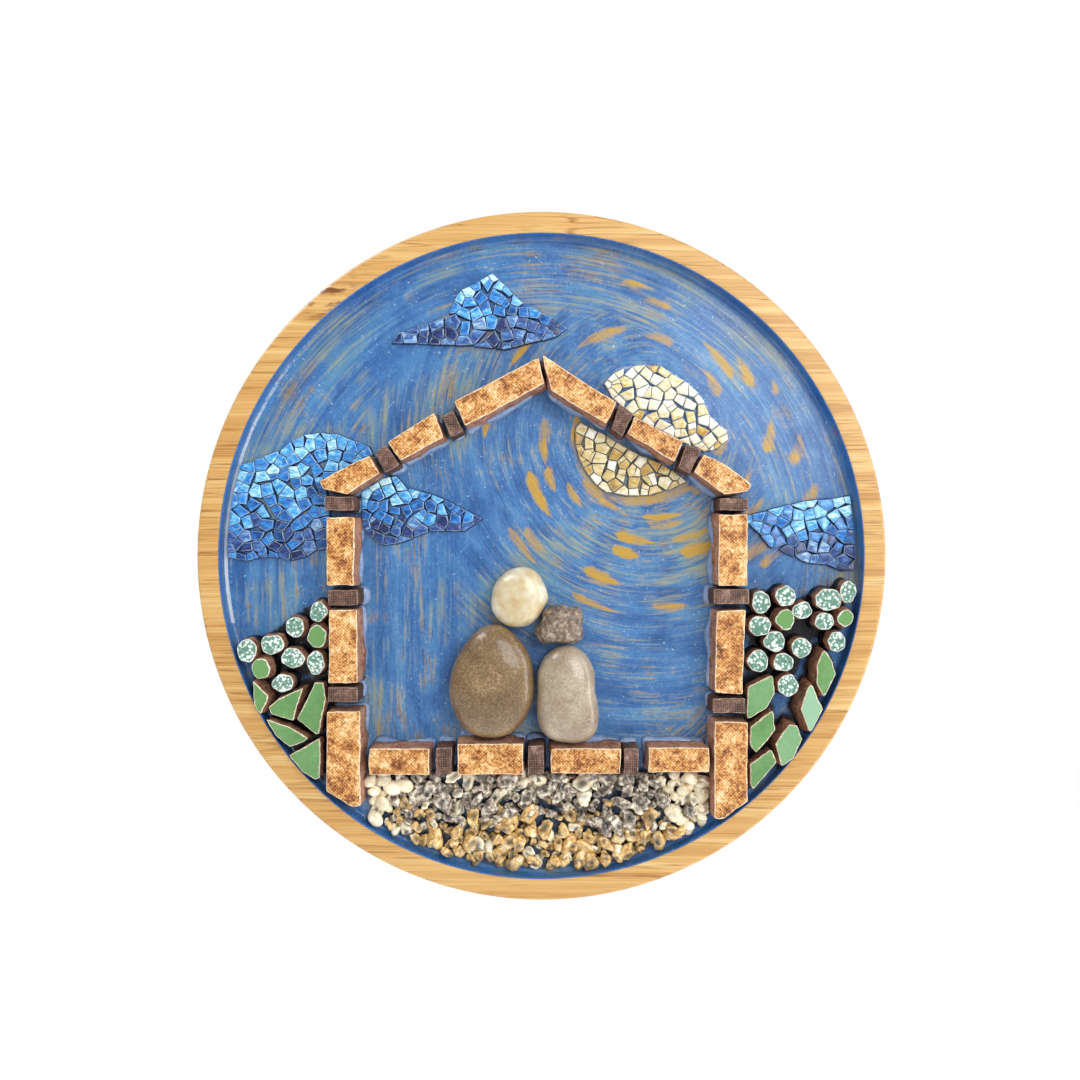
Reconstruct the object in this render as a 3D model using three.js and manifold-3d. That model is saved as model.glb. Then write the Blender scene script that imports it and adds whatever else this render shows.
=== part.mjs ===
// Round mosaic wall plaque. A turned bamboo tray with a raised rim and a painted recess carries a
// house outlined in glazed tile strips with clay spacers, a couple made of four beach pebbles,
// bushes of green tile, clouds and a sun of eggshell pieces, and a bank of gravel, all glued down.
// Units are millimetres. Inside the group named front, x runs right, y up and z out from the wall.
// That group is turned upright at the end, so the wall is the plane y = 0, +z is up and the
// decorated side looks along -y. The origin is the centre of the flat back.
import * as THREE from "three";
import { mergeVertices } from "three/addons/utils/BufferGeometryUtils.js";
import Module from "manifold-3d";

const wasm = await Module();
wasm.setup();

// Driving dimensions
const TRAY_RADIUS = 110;
const TRAY_THICKNESS = 13;
const RIM_WIDTH = 7.3;
const RECESS_DEPTH = 4.5;
const RECESS_RADIUS = TRAY_RADIUS - RIM_WIDTH;
const FLOOR = TRAY_THICKNESS - RECESS_DEPTH;
const GLUE = 0.3; // clear glue line under every piece
const BED = FLOOR + GLUE; // height of every glued underside
const BRICK_THICKNESS = 8.2;
const SPACER_THICKNESS = 7.9;
const LEAF_THICKNESS = 7;
const BERRY_THICKNESS = 7;
const ADHESIVE_THICKNESS = 0.6; // bed that holds the berries, and the gravel
const SHELL_THICKNESS = 1.2;
const SHELL_SIZE = 4.5;
const SHELL_JOINT = 0.3;
const SHELL_BED = 0.4; // glue and paint that fills the joints between the shell pieces
const STONE_SIZE = 10;

const MATERIALS = {
  bamboo: new THREE.MeshStandardMaterial({ color: "#dcb276", roughness: 0.5, metalness: 0 }),
  brick: new THREE.MeshStandardMaterial({ color: "#d9985a", roughness: 0.4, metalness: 0 }),
  spacer: new THREE.MeshStandardMaterial({ color: "#765244", roughness: 0.7, metalness: 0 }),
  leaf: new THREE.MeshStandardMaterial({ color: "#7ea577", roughness: 0.25, metalness: 0 }),
  berry: new THREE.MeshStandardMaterial({ color: "#8fb3a0", roughness: 0.3, metalness: 0 }),
  brownPebble: new THREE.MeshStandardMaterial({ color: "#8a7152", roughness: 0.25, metalness: 0 }),
  creamPebble: new THREE.MeshStandardMaterial({ color: "#e2d6ae", roughness: 0.25, metalness: 0 }),
  greyPebble: new THREE.MeshStandardMaterial({ color: "#7d7469", roughness: 0.3, metalness: 0 }),
  beigePebble: new THREE.MeshStandardMaterial({ color: "#bcae97", roughness: 0.25, metalness: 0 }),
  blueShell: new THREE.MeshStandardMaterial({ color: "#5c9fda", roughness: 0.3, metalness: 0 }),
  yellowShell: new THREE.MeshStandardMaterial({ color: "#efe3b4", roughness: 0.35, metalness: 0 }),
  gravel: new THREE.MeshStandardMaterial({ color: "#b9a98a", roughness: 0.5, metalness: 0 }),
};

const front = new THREE.Group();
front.rotation.x = Math.PI / 2;

// Adds one named piece to the front group, with its underside at the given height.
function place(name, geometry, material, height) {
  const mesh = new THREE.Mesh(geometry, material);
  mesh.name = name;
  mesh.position.z = height;
  front.add(mesh);
}

// A repeatable source of numbers from 0 to 1.
function seededRandom(seed) {
  let state = seed;
  return () => {
    state = (state + 0x6d2b79f5) | 0;
    let mixed = Math.imul(state ^ (state >>> 15), 1 | state);
    mixed ^= mixed + Math.imul(mixed ^ (mixed >>> 7), 61 | mixed);
    return ((mixed ^ (mixed >>> 14)) >>> 0) / 4294967296;
  };
}

function outlineOf(pairs) {
  return pairs.map(([x, y]) => new THREE.Vector2(x, y));
}

function rectangle(left, bottom, right, top) {
  return [[left, bottom], [right, bottom], [right, top], [left, top]];
}

// ---- Joining with manifold-3d ----

function solidOf(geometry) {
  const bare = geometry.clone();
  bare.deleteAttribute("normal");
  bare.deleteAttribute("uv");
  const merged = mergeVertices(bare, 1e-4);
  const vertProperties = new Float32Array(merged.attributes.position.array);
  const triVerts = new Uint32Array(merged.index.array);
  return new wasm.Manifold(new wasm.Mesh({ numProp: 3, vertProperties, triVerts }));
}

function joined(geometries) {
  const whole = geometries.map(solidOf).reduce((sum, next) => sum.add(next));
  const mesh = whole.getMesh();
  const geometry = new THREE.BufferGeometry();
  geometry.setAttribute("position", new THREE.BufferAttribute(mesh.vertProperties, 3));
  geometry.setIndex(new THREE.BufferAttribute(mesh.triVerts, 1));
  return geometry;
}

// ---- Tray ----

// The rim's edges are broken, and a small cove joins the recess wall to its floor.
function trayGeometry() {
  const edge = 2;
  const arris = 0.5;
  const cove = 0.6;
  const segments = 64;
  const profile = [
    [0, 0],
    [TRAY_RADIUS - edge, 0],
    [TRAY_RADIUS, edge],
    [TRAY_RADIUS, TRAY_THICKNESS - edge],
    [TRAY_RADIUS - edge, TRAY_THICKNESS],
    [RECESS_RADIUS + arris, TRAY_THICKNESS],
    [RECESS_RADIUS, TRAY_THICKNESS - arris],
    [RECESS_RADIUS, FLOOR + cove],
    [RECESS_RADIUS - cove, FLOOR],
    [0, FLOOR],
  ];
  return new THREE.LatheGeometry(outlineOf(profile), segments).rotateX(Math.PI / 2);
}

place("bamboo_tray", trayGeometry(), MATERIALS.bamboo, 0);

// ---- House of tile strips ----

const BRICKS = {
  brick_left_wall_top: rectangle(-67.5, -9.3, -58.7, 12.1),
  brick_left_wall_middle: rectangle(-66.8, -39.9, -57.7, -16.8),
  brick_left_wall_foot: [[-67.5, -74], [-59.5, -78.6], [-56.8, -78.6], [-56.8, -48.7], [-67.4, -48.7]],
  brick_right_wall_top: rectangle(55.6, -9.4, 64.8, 13),
  brick_right_wall_middle: [[54.5, -43], [63.2, -43.3], [64.1, -17], [54.9, -17.2]],
  brick_right_wall_foot: [[54.2, -82.4], [57.2, -82.5], [64.7, -77], [64.9, -52.1], [54.4, -51.9]],
  brick_sill_1: rectangle(-54.2, -68.7, -35.2, -60.3),
  brick_sill_2: rectangle(-26.5, -68.6, -5.6, -58.9),
  brick_sill_3: rectangle(3.1, -68.3, 25, -60.4),
  brick_sill_4: rectangle(33.6, -67.9, 52.6, -60),
  brick_roof_left_eave: [[-68.6, 21.2], [-61.2, 19.4], [-51, 26], [-54, 31.7], [-69.8, 23.6]],
  brick_roof_left_middle: [[-44.1, 30.1], [-30.8, 37.4], [-33.8, 45.1], [-48.4, 35.6]],
  brick_roof_left_ridge: [[-23.9, 40.9], [0.9, 54.3], [-0.8, 62.4], [-27.6, 48.7]],
  brick_roof_right_ridge: [[3, 52], [20.5, 41.2], [23.6, 48.2], [0.3, 63.1]],
  brick_roof_right_middle: [[26.9, 38.4], [41.9, 29.6], [44.5, 35.9], [29.1, 43.8]],
  brick_roof_right_eave: [[47.9, 26.4], [57.4, 19.2], [64.8, 20.4], [66.2, 22.4], [58, 28.8], [50.9, 32]],
};

const SPACERS = {
  spacer_left_eave: rectangle(-68.1, 14.4, -59, 18.7),
  spacer_left_wall_upper: rectangle(-67, -15.4, -57.8, -10.7),
  spacer_left_wall_lower: rectangle(-67.1, -45.8, -57.8, -41.2),
  spacer_right_eave: rectangle(56, 14.4, 65, 18.2),
  spacer_right_wall_upper: rectangle(54.2, -15.1, 65.3, -10.4),
  spacer_right_wall_lower: rectangle(53.8, -49.4, 64, -44.8),
  spacer_sill_1: rectangle(-33.2, -68.7, -28.2, -60.2),
  spacer_sill_2: rectangle(-4.2, -68.5, 0.7, -59.6),
  spacer_sill_3: rectangle(25.9, -68.9, 30.5, -60.4),
  spacer_roof_left_lower: [[-49.2, 26.3], [-44.7, 28.8], [-48.8, 34.8], [-52.1, 32.6]],
  spacer_roof_left_upper: [[-28.5, 37.6], [-24.6, 39.2], [-27.8, 46], [-31.4, 43.8]],
  spacer_roof_right_upper: [[21.9, 40], [25.4, 37.6], [28.9, 44.8], [24.5, 47.6]],
  spacer_roof_right_lower: [[43, 27.8], [46.7, 25.8], [50.1, 33.4], [45.6, 35.1]],
};

// Adds a point near the middle of each side and moves every point a little, as hand-cut tile is.
function handCut(outline, unevenness, random) {
  const shift = () => (random() - 0.5) * 2 * unevenness;
  const result = [];
  outline.forEach((corner, index) => {
    const next = outline[(index + 1) % outline.length];
    const middle = corner.clone().lerp(next, 0.4 + 0.2 * random());
    [corner, middle].forEach((point) => {
      result.push(new THREE.Vector2(point.x + shift(), point.y + shift()));
    });
  });
  return result;
}

// A flat piece with square edges.
function slabGeometry(outline, thickness) {
  const shape = new THREE.Shape(outline);
  return new THREE.ExtrudeGeometry(shape, { depth: thickness, bevelEnabled: false });
}

// A flat tile with its top and bottom arrises broken.
function tileGeometry(outline, thickness, arris) {
  const geometry = new THREE.ExtrudeGeometry(new THREE.Shape(outline), {
    depth: thickness - 2 * arris,
    bevelThickness: arris,
    bevelSize: arris,
    bevelOffset: -arris,
    bevelSegments: 1,
  });
  return geometry.translate(0, 0, arris);
}

const cutTiles = seededRandom(11);
for (const [name, pairs] of Object.entries(BRICKS)) {
  const outline = handCut(outlineOf(pairs), 0.15, cutTiles);
  place(name, tileGeometry(outline, BRICK_THICKNESS, 0.3), MATERIALS.brick, BED);
}

for (const [name, pairs] of Object.entries(SPACERS)) {
  place(name, tileGeometry(outlineOf(pairs), SPACER_THICKNESS, 0.25), MATERIALS.spacer, BED);
}

// ---- Couple of pebbles ----

// radii are the pebble's reaches from its centre every 30 degrees, starting at its right.
const PEBBLES = {
  pebble_body_brown: {
    centre: [-15.8, -40.2],
    radii: [13.5, 14.4, 16.6, 18.5, 15.4, 13.4, 13.4, 14.6, 16.8, 17.5, 16.6, 14.6],
    height: 12,
    material: MATERIALS.brownPebble,
  },
  pebble_body_beige: {
    centre: [8.4, -44.3],
    radii: [8.9, 9.9, 13.5, 16, 14.4, 11.2, 9.9, 11.4, 14.5, 15, 15.3, 11.3],
    height: 11,
    material: MATERIALS.beigePebble,
  },
  pebble_head_cream: {
    centre: [-6.9, -13.2],
    radii: [9, 8.9, 9.8, 9.6, 9.2, 8.9, 9, 9.7, 9.9, 9.5, 9, 8.3],
    height: 10,
    material: MATERIALS.creamPebble,
  },
  pebble_head_grey: {
    centre: [5.8, -22],
    radii: [7.5, 8.5, 7, 6.2, 7, 6.7, 7.1, 8.4, 6.8, 5.8, 6.6, 8.4],
    height: 9,
    material: MATERIALS.greyPebble,
  },
};

// A smooth closed curve through the given reaches, read at any angle.
function reachAt(radii, angle) {
  const step = (2 * Math.PI) / radii.length;
  const turns = ((angle + 2 * Math.PI) % (2 * Math.PI)) / step;
  const index = Math.floor(turns);
  const part = turns - index;
  const pick = (offset) => radii[(index + offset + radii.length) % radii.length];
  const curve = new THREE.CatmullRomCurve3(
    [-1, 0, 1, 2].map((offset) => new THREE.Vector3(pick(offset), 0, 0)),
    false,
    "catmullrom",
    0.5,
  );
  return curve.getPoint((1 + part) / 3).x;
}

// A sphere drawn out to the pebble's outline, fuller than a ball and flat where it is glued.
function pebbleGeometry({ radii, height }) {
  const geometry = new THREE.SphereGeometry(1, 16, 8).rotateX(Math.PI / 2);
  const points = geometry.getAttribute("position");
  const half = height * 0.56;
  const middle = height - half;
  for (let i = 0; i < points.count; i += 1) {
    const flat = Math.hypot(points.getX(i), points.getY(i));
    const angle = Math.atan2(points.getY(i), points.getX(i));
    const reach = flat ** 0.8 * reachAt(radii, angle);
    const z = Math.max(0, middle + half * points.getZ(i));
    points.setXYZ(i, reach * Math.cos(angle), reach * Math.sin(angle), z);
  }
  return geometry;
}

for (const [name, pebble] of Object.entries(PEBBLES)) {
  const geometry = pebbleGeometry(pebble).translate(pebble.centre[0], pebble.centre[1], 0);
  place(name, geometry, pebble.material, BED);
}

// ---- Bushes of green tile ----

const LEAVES = {
  leaf_left_1: [[-91, -39.4], [-90.6, -47], [-88.6, -50], [-86.2, -45.6], [-86.2, -43.9]],
  leaf_left_2: [[-86.1, -47.7], [-85.3, -49.8], [-78.3, -51.9], [-75.2, -41.6], [-82.8, -44.8]],
  leaf_left_3: [[-77, -51.4], [-71.2, -56.3], [-70, -56.2], [-67.9, -45], [-68.7, -39.8], [-71.5, -39.8]],
  leaf_left_4: [[-86.9, -51.5], [-83.9, -56.6], [-79.4, -60.2], [-75, -58.7], [-73.4, -57.4], [-79.7, -53.6]],
  leaf_left_5: [[-79.6, -62.9], [-75.4, -68.1], [-71.1, -70.7], [-69.8, -69.8], [-69.8, -57.4]],
  leaf_right_1: [[87, -34.8], [87, -40.1], [89.1, -44.2], [92.6, -37.1], [91.4, -33.2], [89.2, -29.9]],
  leaf_right_2: [[65.2, -51.1], [70.9, -47.8], [73.2, -43.3], [72.7, -37.8], [65.3, -41.4]],
  leaf_right_3: [[81.9, -48.2], [84.7, -55.2], [88.5, -48.4], [85, -40.6]],
  leaf_right_4: [[66.1, -54], [66, -59.3], [67.7, -61.8], [73.4, -54.8], [72.9, -49]],
  leaf_right_5: [[74, -59.3], [75.8, -66.1], [79.2, -63.6], [82, -57.8], [80.5, -53.7], [78.3, -53.3]],
  leaf_right_6: [[66.1, -65.8], [66, -71.4], [66.7, -73.4], [73.9, -64.8], [72.4, -61.3]],
};

for (const [name, pairs] of Object.entries(LEAVES)) {
  place(name, tileGeometry(outlineOf(pairs), LEAF_THICKNESS, 0.3), MATERIALS.leaf, BED);
}

// Each berry is [x, y, width, height]. A bed of dark adhesive holds all the berries of a bush.
const BERRY_GROUPS = {
  berries_left: {
    bed: [
      [-68.3, -38.3], [-68, -13.8], [-72.5, -13.5], [-81.5, -18.5], [-88, -23.6], [-96.4, -26],
      [-96.8, -32.2], [-92, -37.6], [-87.4, -39.6], [-84.7, -42.3], [-82.4, -43.4], [-77, -41],
      [-73.4, -38.5],
    ],
    berries: [
      [-70.4, -17.6, 5.6, 7.1], [-78, -22.4, 6.3, 6.7], [-70.9, -25.5, 6.4, 7.4],
      [-93, -29.8, 6.7, 7.6], [-85, -28, 7.7, 6.8], [-78.4, -32.2, 8.1, 6.9],
      [-71.3, -34, 5.9, 7.8], [-88.7, -35.6, 6, 6.7], [-81.7, -40.2, 7.4, 5.6],
    ],
  },
  berries_right: {
    bed: [
      [66.2, -11], [65.6, -37.5], [72.9, -36.2], [74.3, -38.5], [75.2, -44.9], [81, -44.8],
      [83.9, -39.2], [85.4, -34], [89, -28.4], [92.4, -31.2], [96, -30], [98.4, -23.5],
      [99.6, -17], [99.5, -7.2], [88, -9.5], [82, -13], [76, -8.8],
    ].reverse(),
    berries: [
      [69.4, -14.6, 6.5, 7.5], [77, -12.7, 6.8, 6.9], [82.4, -17.1, 6.5, 5.7],
      [90.7, -13.7, 9.1, 7.1], [96.9, -11.3, 5.2, 7.8], [68.9, -22.2, 7.2, 6.7],
      [77, -20, 6.4, 6.9], [89.3, -20.6, 6.6, 5.8], [96, -19.6, 5, 5.8], [73.5, -27, 6.9, 7.4],
      [82, -28.9, 6.6, 6.8], [93.2, -27.1, 6.4, 6.8], [68.4, -33.2, 6.8, 7.5],
      [76.4, -33.5, 7, 6.2], [77.8, -40.9, 6.7, 7.4],
    ],
  },
};

// A tile nibbled to a rough round.
function berryGeometry([x, y, width, height], random) {
  const corners = 7;
  const start = random() * Math.PI;
  const outline = [];
  for (let i = 0; i < corners; i += 1) {
    const angle = start + (2 * Math.PI * (i + 0.5 * random())) / corners;
    const reach = 0.46 + 0.05 * random();
    outline.push(new THREE.Vector2(reach * width * Math.cos(angle), reach * height * Math.sin(angle)));
  }
  return slabGeometry(outline, BERRY_THICKNESS).translate(x, y, 0);
}

const nibble = seededRandom(23);
for (const [name, group] of Object.entries(BERRY_GROUPS)) {
  const bed = slabGeometry(outlineOf(group.bed), ADHESIVE_THICKNESS);
  const berries = group.berries.map((berry) => berryGeometry(berry, nibble));
  place(name, joined([bed, ...berries]), MATERIALS.berry, BED);
}

// ---- Clouds and sun of eggshell pieces ----

const SHELL_FIELDS = {
  cloud_left_outer: {
    material: MATERIALS.blueShell,
    outline: [
      [-97.2, 29.3], [-94.3, 29.8], [-88, 32.8], [-84.1, 34.1], [-79.1, 38.1], [-74.2, 39.7],
      [-66.3, 39.4], [-62.6, 38.1], [-55, 35], [-54.2, 32.4], [-70.2, 24.3], [-69.4, 20.8],
      [-68.8, 19], [-68.2, 12], [-68.2, 2.4], [-74.2, 1.6], [-76.5, -1.2], [-79.5, -2.2],
      [-84.8, -0.5], [-90.7, -0.5], [-95.6, -1.9], [-101.4, -0.4], [-101.2, 8], [-100, 17.5],
    ],
  },
  cloud_left_inner: {
    material: MATERIALS.blueShell,
    outline: [
      [-58.2, 20.4], [-51.2, 24.9], [-46.9, 25.8], [-43.3, 22], [-33, 19], [-19.1, 12],
      [-24.9, 7.9], [-35.9, 7.9], [-44.7, 4.3], [-50.6, 2.9], [-56.5, 7.2], [-58, 9.5],
    ],
  },
  cloud_top: {
    material: MATERIALS.blueShell,
    outline: [
      [-48.4, 68.6], [-46, 71.9], [-41.4, 73.6], [-34, 75.7], [-29.8, 77.3], [-28.4, 82],
      [-26.8, 85.2], [-22, 87.6], [-15.8, 91.1], [-12.5, 88], [-9.2, 84.7], [-5.9, 81.4],
      [-1.5, 79], [2.8, 77.3], [8.4, 73.4], [4.8, 70.7], [-1.8, 69.1], [-11.7, 66.6],
      [-23.2, 67.8], [-33.5, 68.2],
    ],
  },
  cloud_right: {
    material: MATERIALS.blueShell,
    outline: [
      [65.8, 12.9], [70.5, 13.8], [78.3, 16.2], [84.7, 17.6], [94.9, 18.5], [99.6, 19.4],
      [101.2, 8], [101.4, 0], [101.2, -4.6], [97.4, -5], [91.7, -2.8], [88.2, -3.1],
      [83.7, -1.5], [78.6, 1.2], [73.7, 2.8], [70, 7.6], [66.4, 10.6],
    ],
  },
  sun_upper: {
    material: MATERIALS.yellowShell,
    outline: [
      [20.2, 55.6], [24.2, 60], [31, 61.4], [38.3, 61.4], [44.4, 57.6], [49, 54.6], [52, 50.6],
      [53.6, 47], [55.8, 43.4], [59.8, 40.4], [60.4, 37.6], [57, 34.6], [52.6, 33.4],
      [50.6, 34.6], [45.9, 36.4], [29.5, 44.8], [25, 48.8], [23, 50.8],
    ],
  },
  sun_lower: {
    material: MATERIALS.yellowShell,
    outline: [
      [11.2, 41.4], [12.6, 43.2], [15.5, 41.5], [21.3, 38.8], [25, 36.3], [31, 32.8],
      [39.5, 29.4], [42, 27.6], [46.4, 24.8], [46.8, 24], [42, 21.4], [35, 19.5], [27.6, 19.3],
      [21, 20.4], [17.2, 23.2], [14.2, 27.1], [12.1, 31.7], [10.4, 38.6],
    ],
  },
};

function isInside(point, outline) {
  let inside = false;
  outline.forEach((corner, index) => {
    const next = outline[(index + 1) % outline.length];
    const crosses = corner.y > point.y !== next.y > point.y;
    const slope = (next.x - corner.x) / (next.y - corner.y);
    if (crosses && point.x < corner.x + slope * (point.y - corner.y)) inside = !inside;
  });
  return inside;
}

// Keeps the part of a convex polygon that lies behind the line through origin across direction.
function clip(polygon, origin, direction) {
  const ahead = (point) => point.clone().sub(origin).dot(direction);
  const kept = [];
  polygon.forEach((corner, index) => {
    const next = polygon[(index + 1) % polygon.length];
    const here = ahead(corner);
    const there = ahead(next);
    if (here <= 0) kept.push(corner);
    if (here < 0 !== there < 0) kept.push(corner.clone().lerp(next, here / (here - there)));
  });
  return kept;
}

// Sites in rows, each moved a little, over the outline's box and one row around it.
function scatteredSites(outline, size, random) {
  const box = new THREE.Box2().setFromPoints(outline).expandByScalar(size);
  const sites = [];
  for (let y = box.min.y; y < box.max.y; y += size) {
    for (let x = box.min.x; x < box.max.x; x += size) {
      const shiftX = (random() - 0.5) * size * 0.7;
      const shiftY = (random() - 0.5) * size * 0.7;
      sites.push(new THREE.Vector2(x + shiftX, y + shiftY));
    }
  }
  return sites;
}

// The nearest point to the site on each side of the outline, with that side's outward direction.
function sidesNear(site, outline, reach) {
  const sides = outline.map((corner, index) => {
    const next = outline[(index + 1) % outline.length];
    const line = new THREE.Line3(
      new THREE.Vector3(corner.x, corner.y, 0),
      new THREE.Vector3(next.x, next.y, 0),
    );
    const here = new THREE.Vector3(site.x, site.y, 0);
    const foot = line.closestPointToPoint(here, true, new THREE.Vector3());
    const nearest = new THREE.Vector2(foot.x, foot.y);
    const across = new THREE.Vector2(next.y - corner.y, corner.x - next.x).normalize();
    const outward = THREE.ShapeUtils.isClockWise(outline) ? across.negate() : across;
    return { nearest, outward, distance: nearest.distanceTo(site) };
  });
  return sides.filter((side) => side.distance < reach);
}

// Drops corners that lie closer than the given length to the one before.
function withoutShortSides(polygon, length) {
  return polygon.filter((corner, index) => {
    const before = polygon[(index + polygon.length - 1) % polygon.length];
    return corner.distanceTo(before) > length;
  });
}

// One shell piece: what is nearer to its site than to the others, less a joint, in the outline.
function pieceOutline(site, sites, outline) {
  let polygon = outlineOf(rectangle(-SHELL_SIZE, -SHELL_SIZE, SHELL_SIZE, SHELL_SIZE));
  polygon.forEach((corner) => corner.add(site));
  sites.forEach((other) => {
    const towards = other.clone().sub(site);
    const distance = towards.length();
    if (distance === 0 || distance > 3 * SHELL_SIZE) return;
    towards.normalize();
    const origin = site.clone().addScaledVector(towards, distance / 2 - SHELL_JOINT / 2);
    polygon = clip(polygon, origin, towards);
  });
  sidesNear(site, outline, 1.5 * SHELL_SIZE).forEach((side) => {
    const inFront = site.clone().sub(side.nearest).dot(side.outward) > 0;
    const origin = side.nearest.clone().addScaledVector(side.outward, -SHELL_JOINT / 2);
    if (!inFront) polygon = clip(polygon, origin, side.outward);
  });
  return withoutShortSides(polygon, 0.7);
}

// A thin shard whose top is smaller than its base and slightly tilted.
function shardGeometry(outline, random) {
  const depth = SHELL_THICKNESS - SHELL_BED;
  const geometry = slabGeometry(outline, depth);
  const centre = outline.reduce((sum, point) => sum.add(point), new THREE.Vector2());
  centre.divideScalar(outline.length);
  const tiltX = (random() - 0.5) * 0.1;
  const tiltY = (random() - 0.5) * 0.1;
  const points = geometry.getAttribute("position");
  for (let i = 0; i < points.count; i += 1) {
    if (points.getZ(i) < depth / 2) continue;
    const dx = (points.getX(i) - centre.x) * 0.9;
    const dy = (points.getY(i) - centre.y) * 0.9;
    points.setXYZ(i, centre.x + dx, centre.y + dy, depth + tiltX * dx + tiltY * dy);
  }
  return geometry.translate(0, 0, SHELL_BED);
}

function areaOf(outline) {
  return Math.abs(THREE.ShapeUtils.area(outline));
}

const SMALLEST_SHARD = 3; // square millimetres
let fieldSeed = 40;
for (const [name, field] of Object.entries(SHELL_FIELDS)) {
  fieldSeed += 1;
  const random = seededRandom(fieldSeed);
  const outline = outlineOf(field.outline);
  const bed = slabGeometry(outline, SHELL_BED);
  const sites = scatteredSites(outline, SHELL_SIZE, random);
  const shards = sites
    .filter((site) => isInside(site, outline))
    .map((site) => pieceOutline(site, sites, outline))
    .filter((piece) => piece.length > 2 && areaOf(piece) > SMALLEST_SHARD)
    .map((piece) => shardGeometry(piece, random));
  place(name, joined([bed, ...shards]), field.material, BED);
}

// ---- Gravel bank under the house ----

// Its lower edge follows the recess wall.
function gravelOutline() {
  const reach = RECESS_RADIUS - 2.4;
  const path = new THREE.Path();
  path.moveTo(53, -70);
  path.lineTo(-55.6, -70);
  path.absarc(0, 0, reach, -Math.acos(-53.5 / reach), -Math.acos(52.5 / reach));
  return path.getPoints(10);
}

function stoneGeometry(site, random) {
  const stone = new THREE.IcosahedronGeometry(1, 0);
  stone.rotateZ(random() * Math.PI);
  stone.rotateX(random() * Math.PI);
  const size = STONE_SIZE * (0.45 + 0.15 * random());
  const halfHeight = 1.8 + 0.4 * random();
  stone.scale(size * (0.9 + 0.3 * random()), size * (0.85 + 0.25 * random()), halfHeight);
  return stone.translate(site.x, site.y, halfHeight + 0.1);
}

const pour = seededRandom(71);
const bank = gravelOutline();
const bankBed = slabGeometry(bank, ADHESIVE_THICKNESS);
const stoneReach = RECESS_RADIUS - 5.5;
const stones = scatteredSites(bank, STONE_SIZE, pour)
  .filter((site) => site.length() < stoneReach && site.y < -74)
  .filter((site) => site.x > -51 && site.x < 48)
  .map((site) => stoneGeometry(site, pour));
place("gravel_bank", joined([bankBed, ...stones]), MATERIALS.gravel, BED);

const panel = new THREE.Group();
panel.add(front);
export default panel;
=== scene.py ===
"""Dresses the round mosaic plaque: a bamboo tray with a painted recess, a house of glazed tile
strips, a couple of varnished pebbles, bushes of nibbled green tile, eggshell clouds and sun, and
a bank of fine gravel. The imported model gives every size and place; x runs right, z up, and the
decorated side looks along -y. A layout point is (x, z), and a height is its distance from the
wall, so a surface at height h lies on the plane y = -h."""
import math
import random

import bmesh
import bpy
import numpy as np
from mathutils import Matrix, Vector, kdtree, noise


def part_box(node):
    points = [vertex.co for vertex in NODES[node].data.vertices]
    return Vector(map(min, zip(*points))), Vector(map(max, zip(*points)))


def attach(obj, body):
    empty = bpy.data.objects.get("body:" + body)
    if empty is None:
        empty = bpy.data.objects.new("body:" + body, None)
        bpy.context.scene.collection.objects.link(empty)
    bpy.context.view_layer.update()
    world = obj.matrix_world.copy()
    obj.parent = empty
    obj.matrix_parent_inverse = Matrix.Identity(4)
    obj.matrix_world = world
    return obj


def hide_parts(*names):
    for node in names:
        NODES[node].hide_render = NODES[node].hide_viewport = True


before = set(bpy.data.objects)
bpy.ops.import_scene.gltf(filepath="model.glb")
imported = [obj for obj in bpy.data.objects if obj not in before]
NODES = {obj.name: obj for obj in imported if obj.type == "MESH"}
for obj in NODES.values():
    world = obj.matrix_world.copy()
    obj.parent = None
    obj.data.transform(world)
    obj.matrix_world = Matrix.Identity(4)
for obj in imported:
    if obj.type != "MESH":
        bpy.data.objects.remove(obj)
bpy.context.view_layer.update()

MM = 0.001


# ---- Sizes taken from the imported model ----

def depth_of(node):
    """Heights of a node's back and front above the wall."""
    low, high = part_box(node)
    return -high.y, -low.y


TRAY_LOW, TRAY_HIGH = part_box("bamboo_tray")
TRAY_RADIUS = TRAY_HIGH.x
RIM_HEIGHT = -TRAY_LOW.y
BED_HEIGHT = depth_of("brick_sill_1")[0]
GLUE_THICKNESS = 0.3 * MM
FLOOR_HEIGHT = BED_HEIGHT - GLUE_THICKNESS
SHELL_BED_THICKNESS = 0.4 * MM
ADHESIVE_THICKNESS = 0.6 * MM


def recess_radius():
    """The tray's widest radius among the points at floor level."""
    points = [v.co for v in NODES["bamboo_tray"].data.vertices]
    return max(math.hypot(p.x, p.z) for p in points if abs(p.y + FLOOR_HEIGHT) < 0.05 * MM) + 0.6 * MM


RECESS_RADIUS = recess_radius()


# ---- Materials ----

def linear(code):
    """An sRGB hex colour as linear RGBA."""
    channels = [int(code[i:i + 2], 16) / 255 for i in (1, 3, 5)]
    return [c / 12.92 if c < 0.04045 else ((c + 0.055) / 1.055) ** 2.4 for c in channels] + [1.0]


def add(tree, kind, settings=None, links=None):
    """Adds one node. Settings are its properties, inputs or colour stops, and links its fed inputs."""
    made = tree.nodes.new(kind)
    for key, value in (settings or {}).items():
        if key == "stops":
            ramp = made.color_ramp
            while len(ramp.elements) < len(value):
                ramp.elements.new(1.0)
            for element, (place, colour) in zip(ramp.elements, value):
                element.position = place
                element.color = linear(colour)
        elif isinstance(key, int) or key in made.inputs:
            made.inputs[key].default_value = linear(value) if isinstance(value, str) else value
        else:
            setattr(made, key, value)
    for key, source in (links or {}).items():
        tree.links.new(source, made.inputs[key])
    return made


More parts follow.
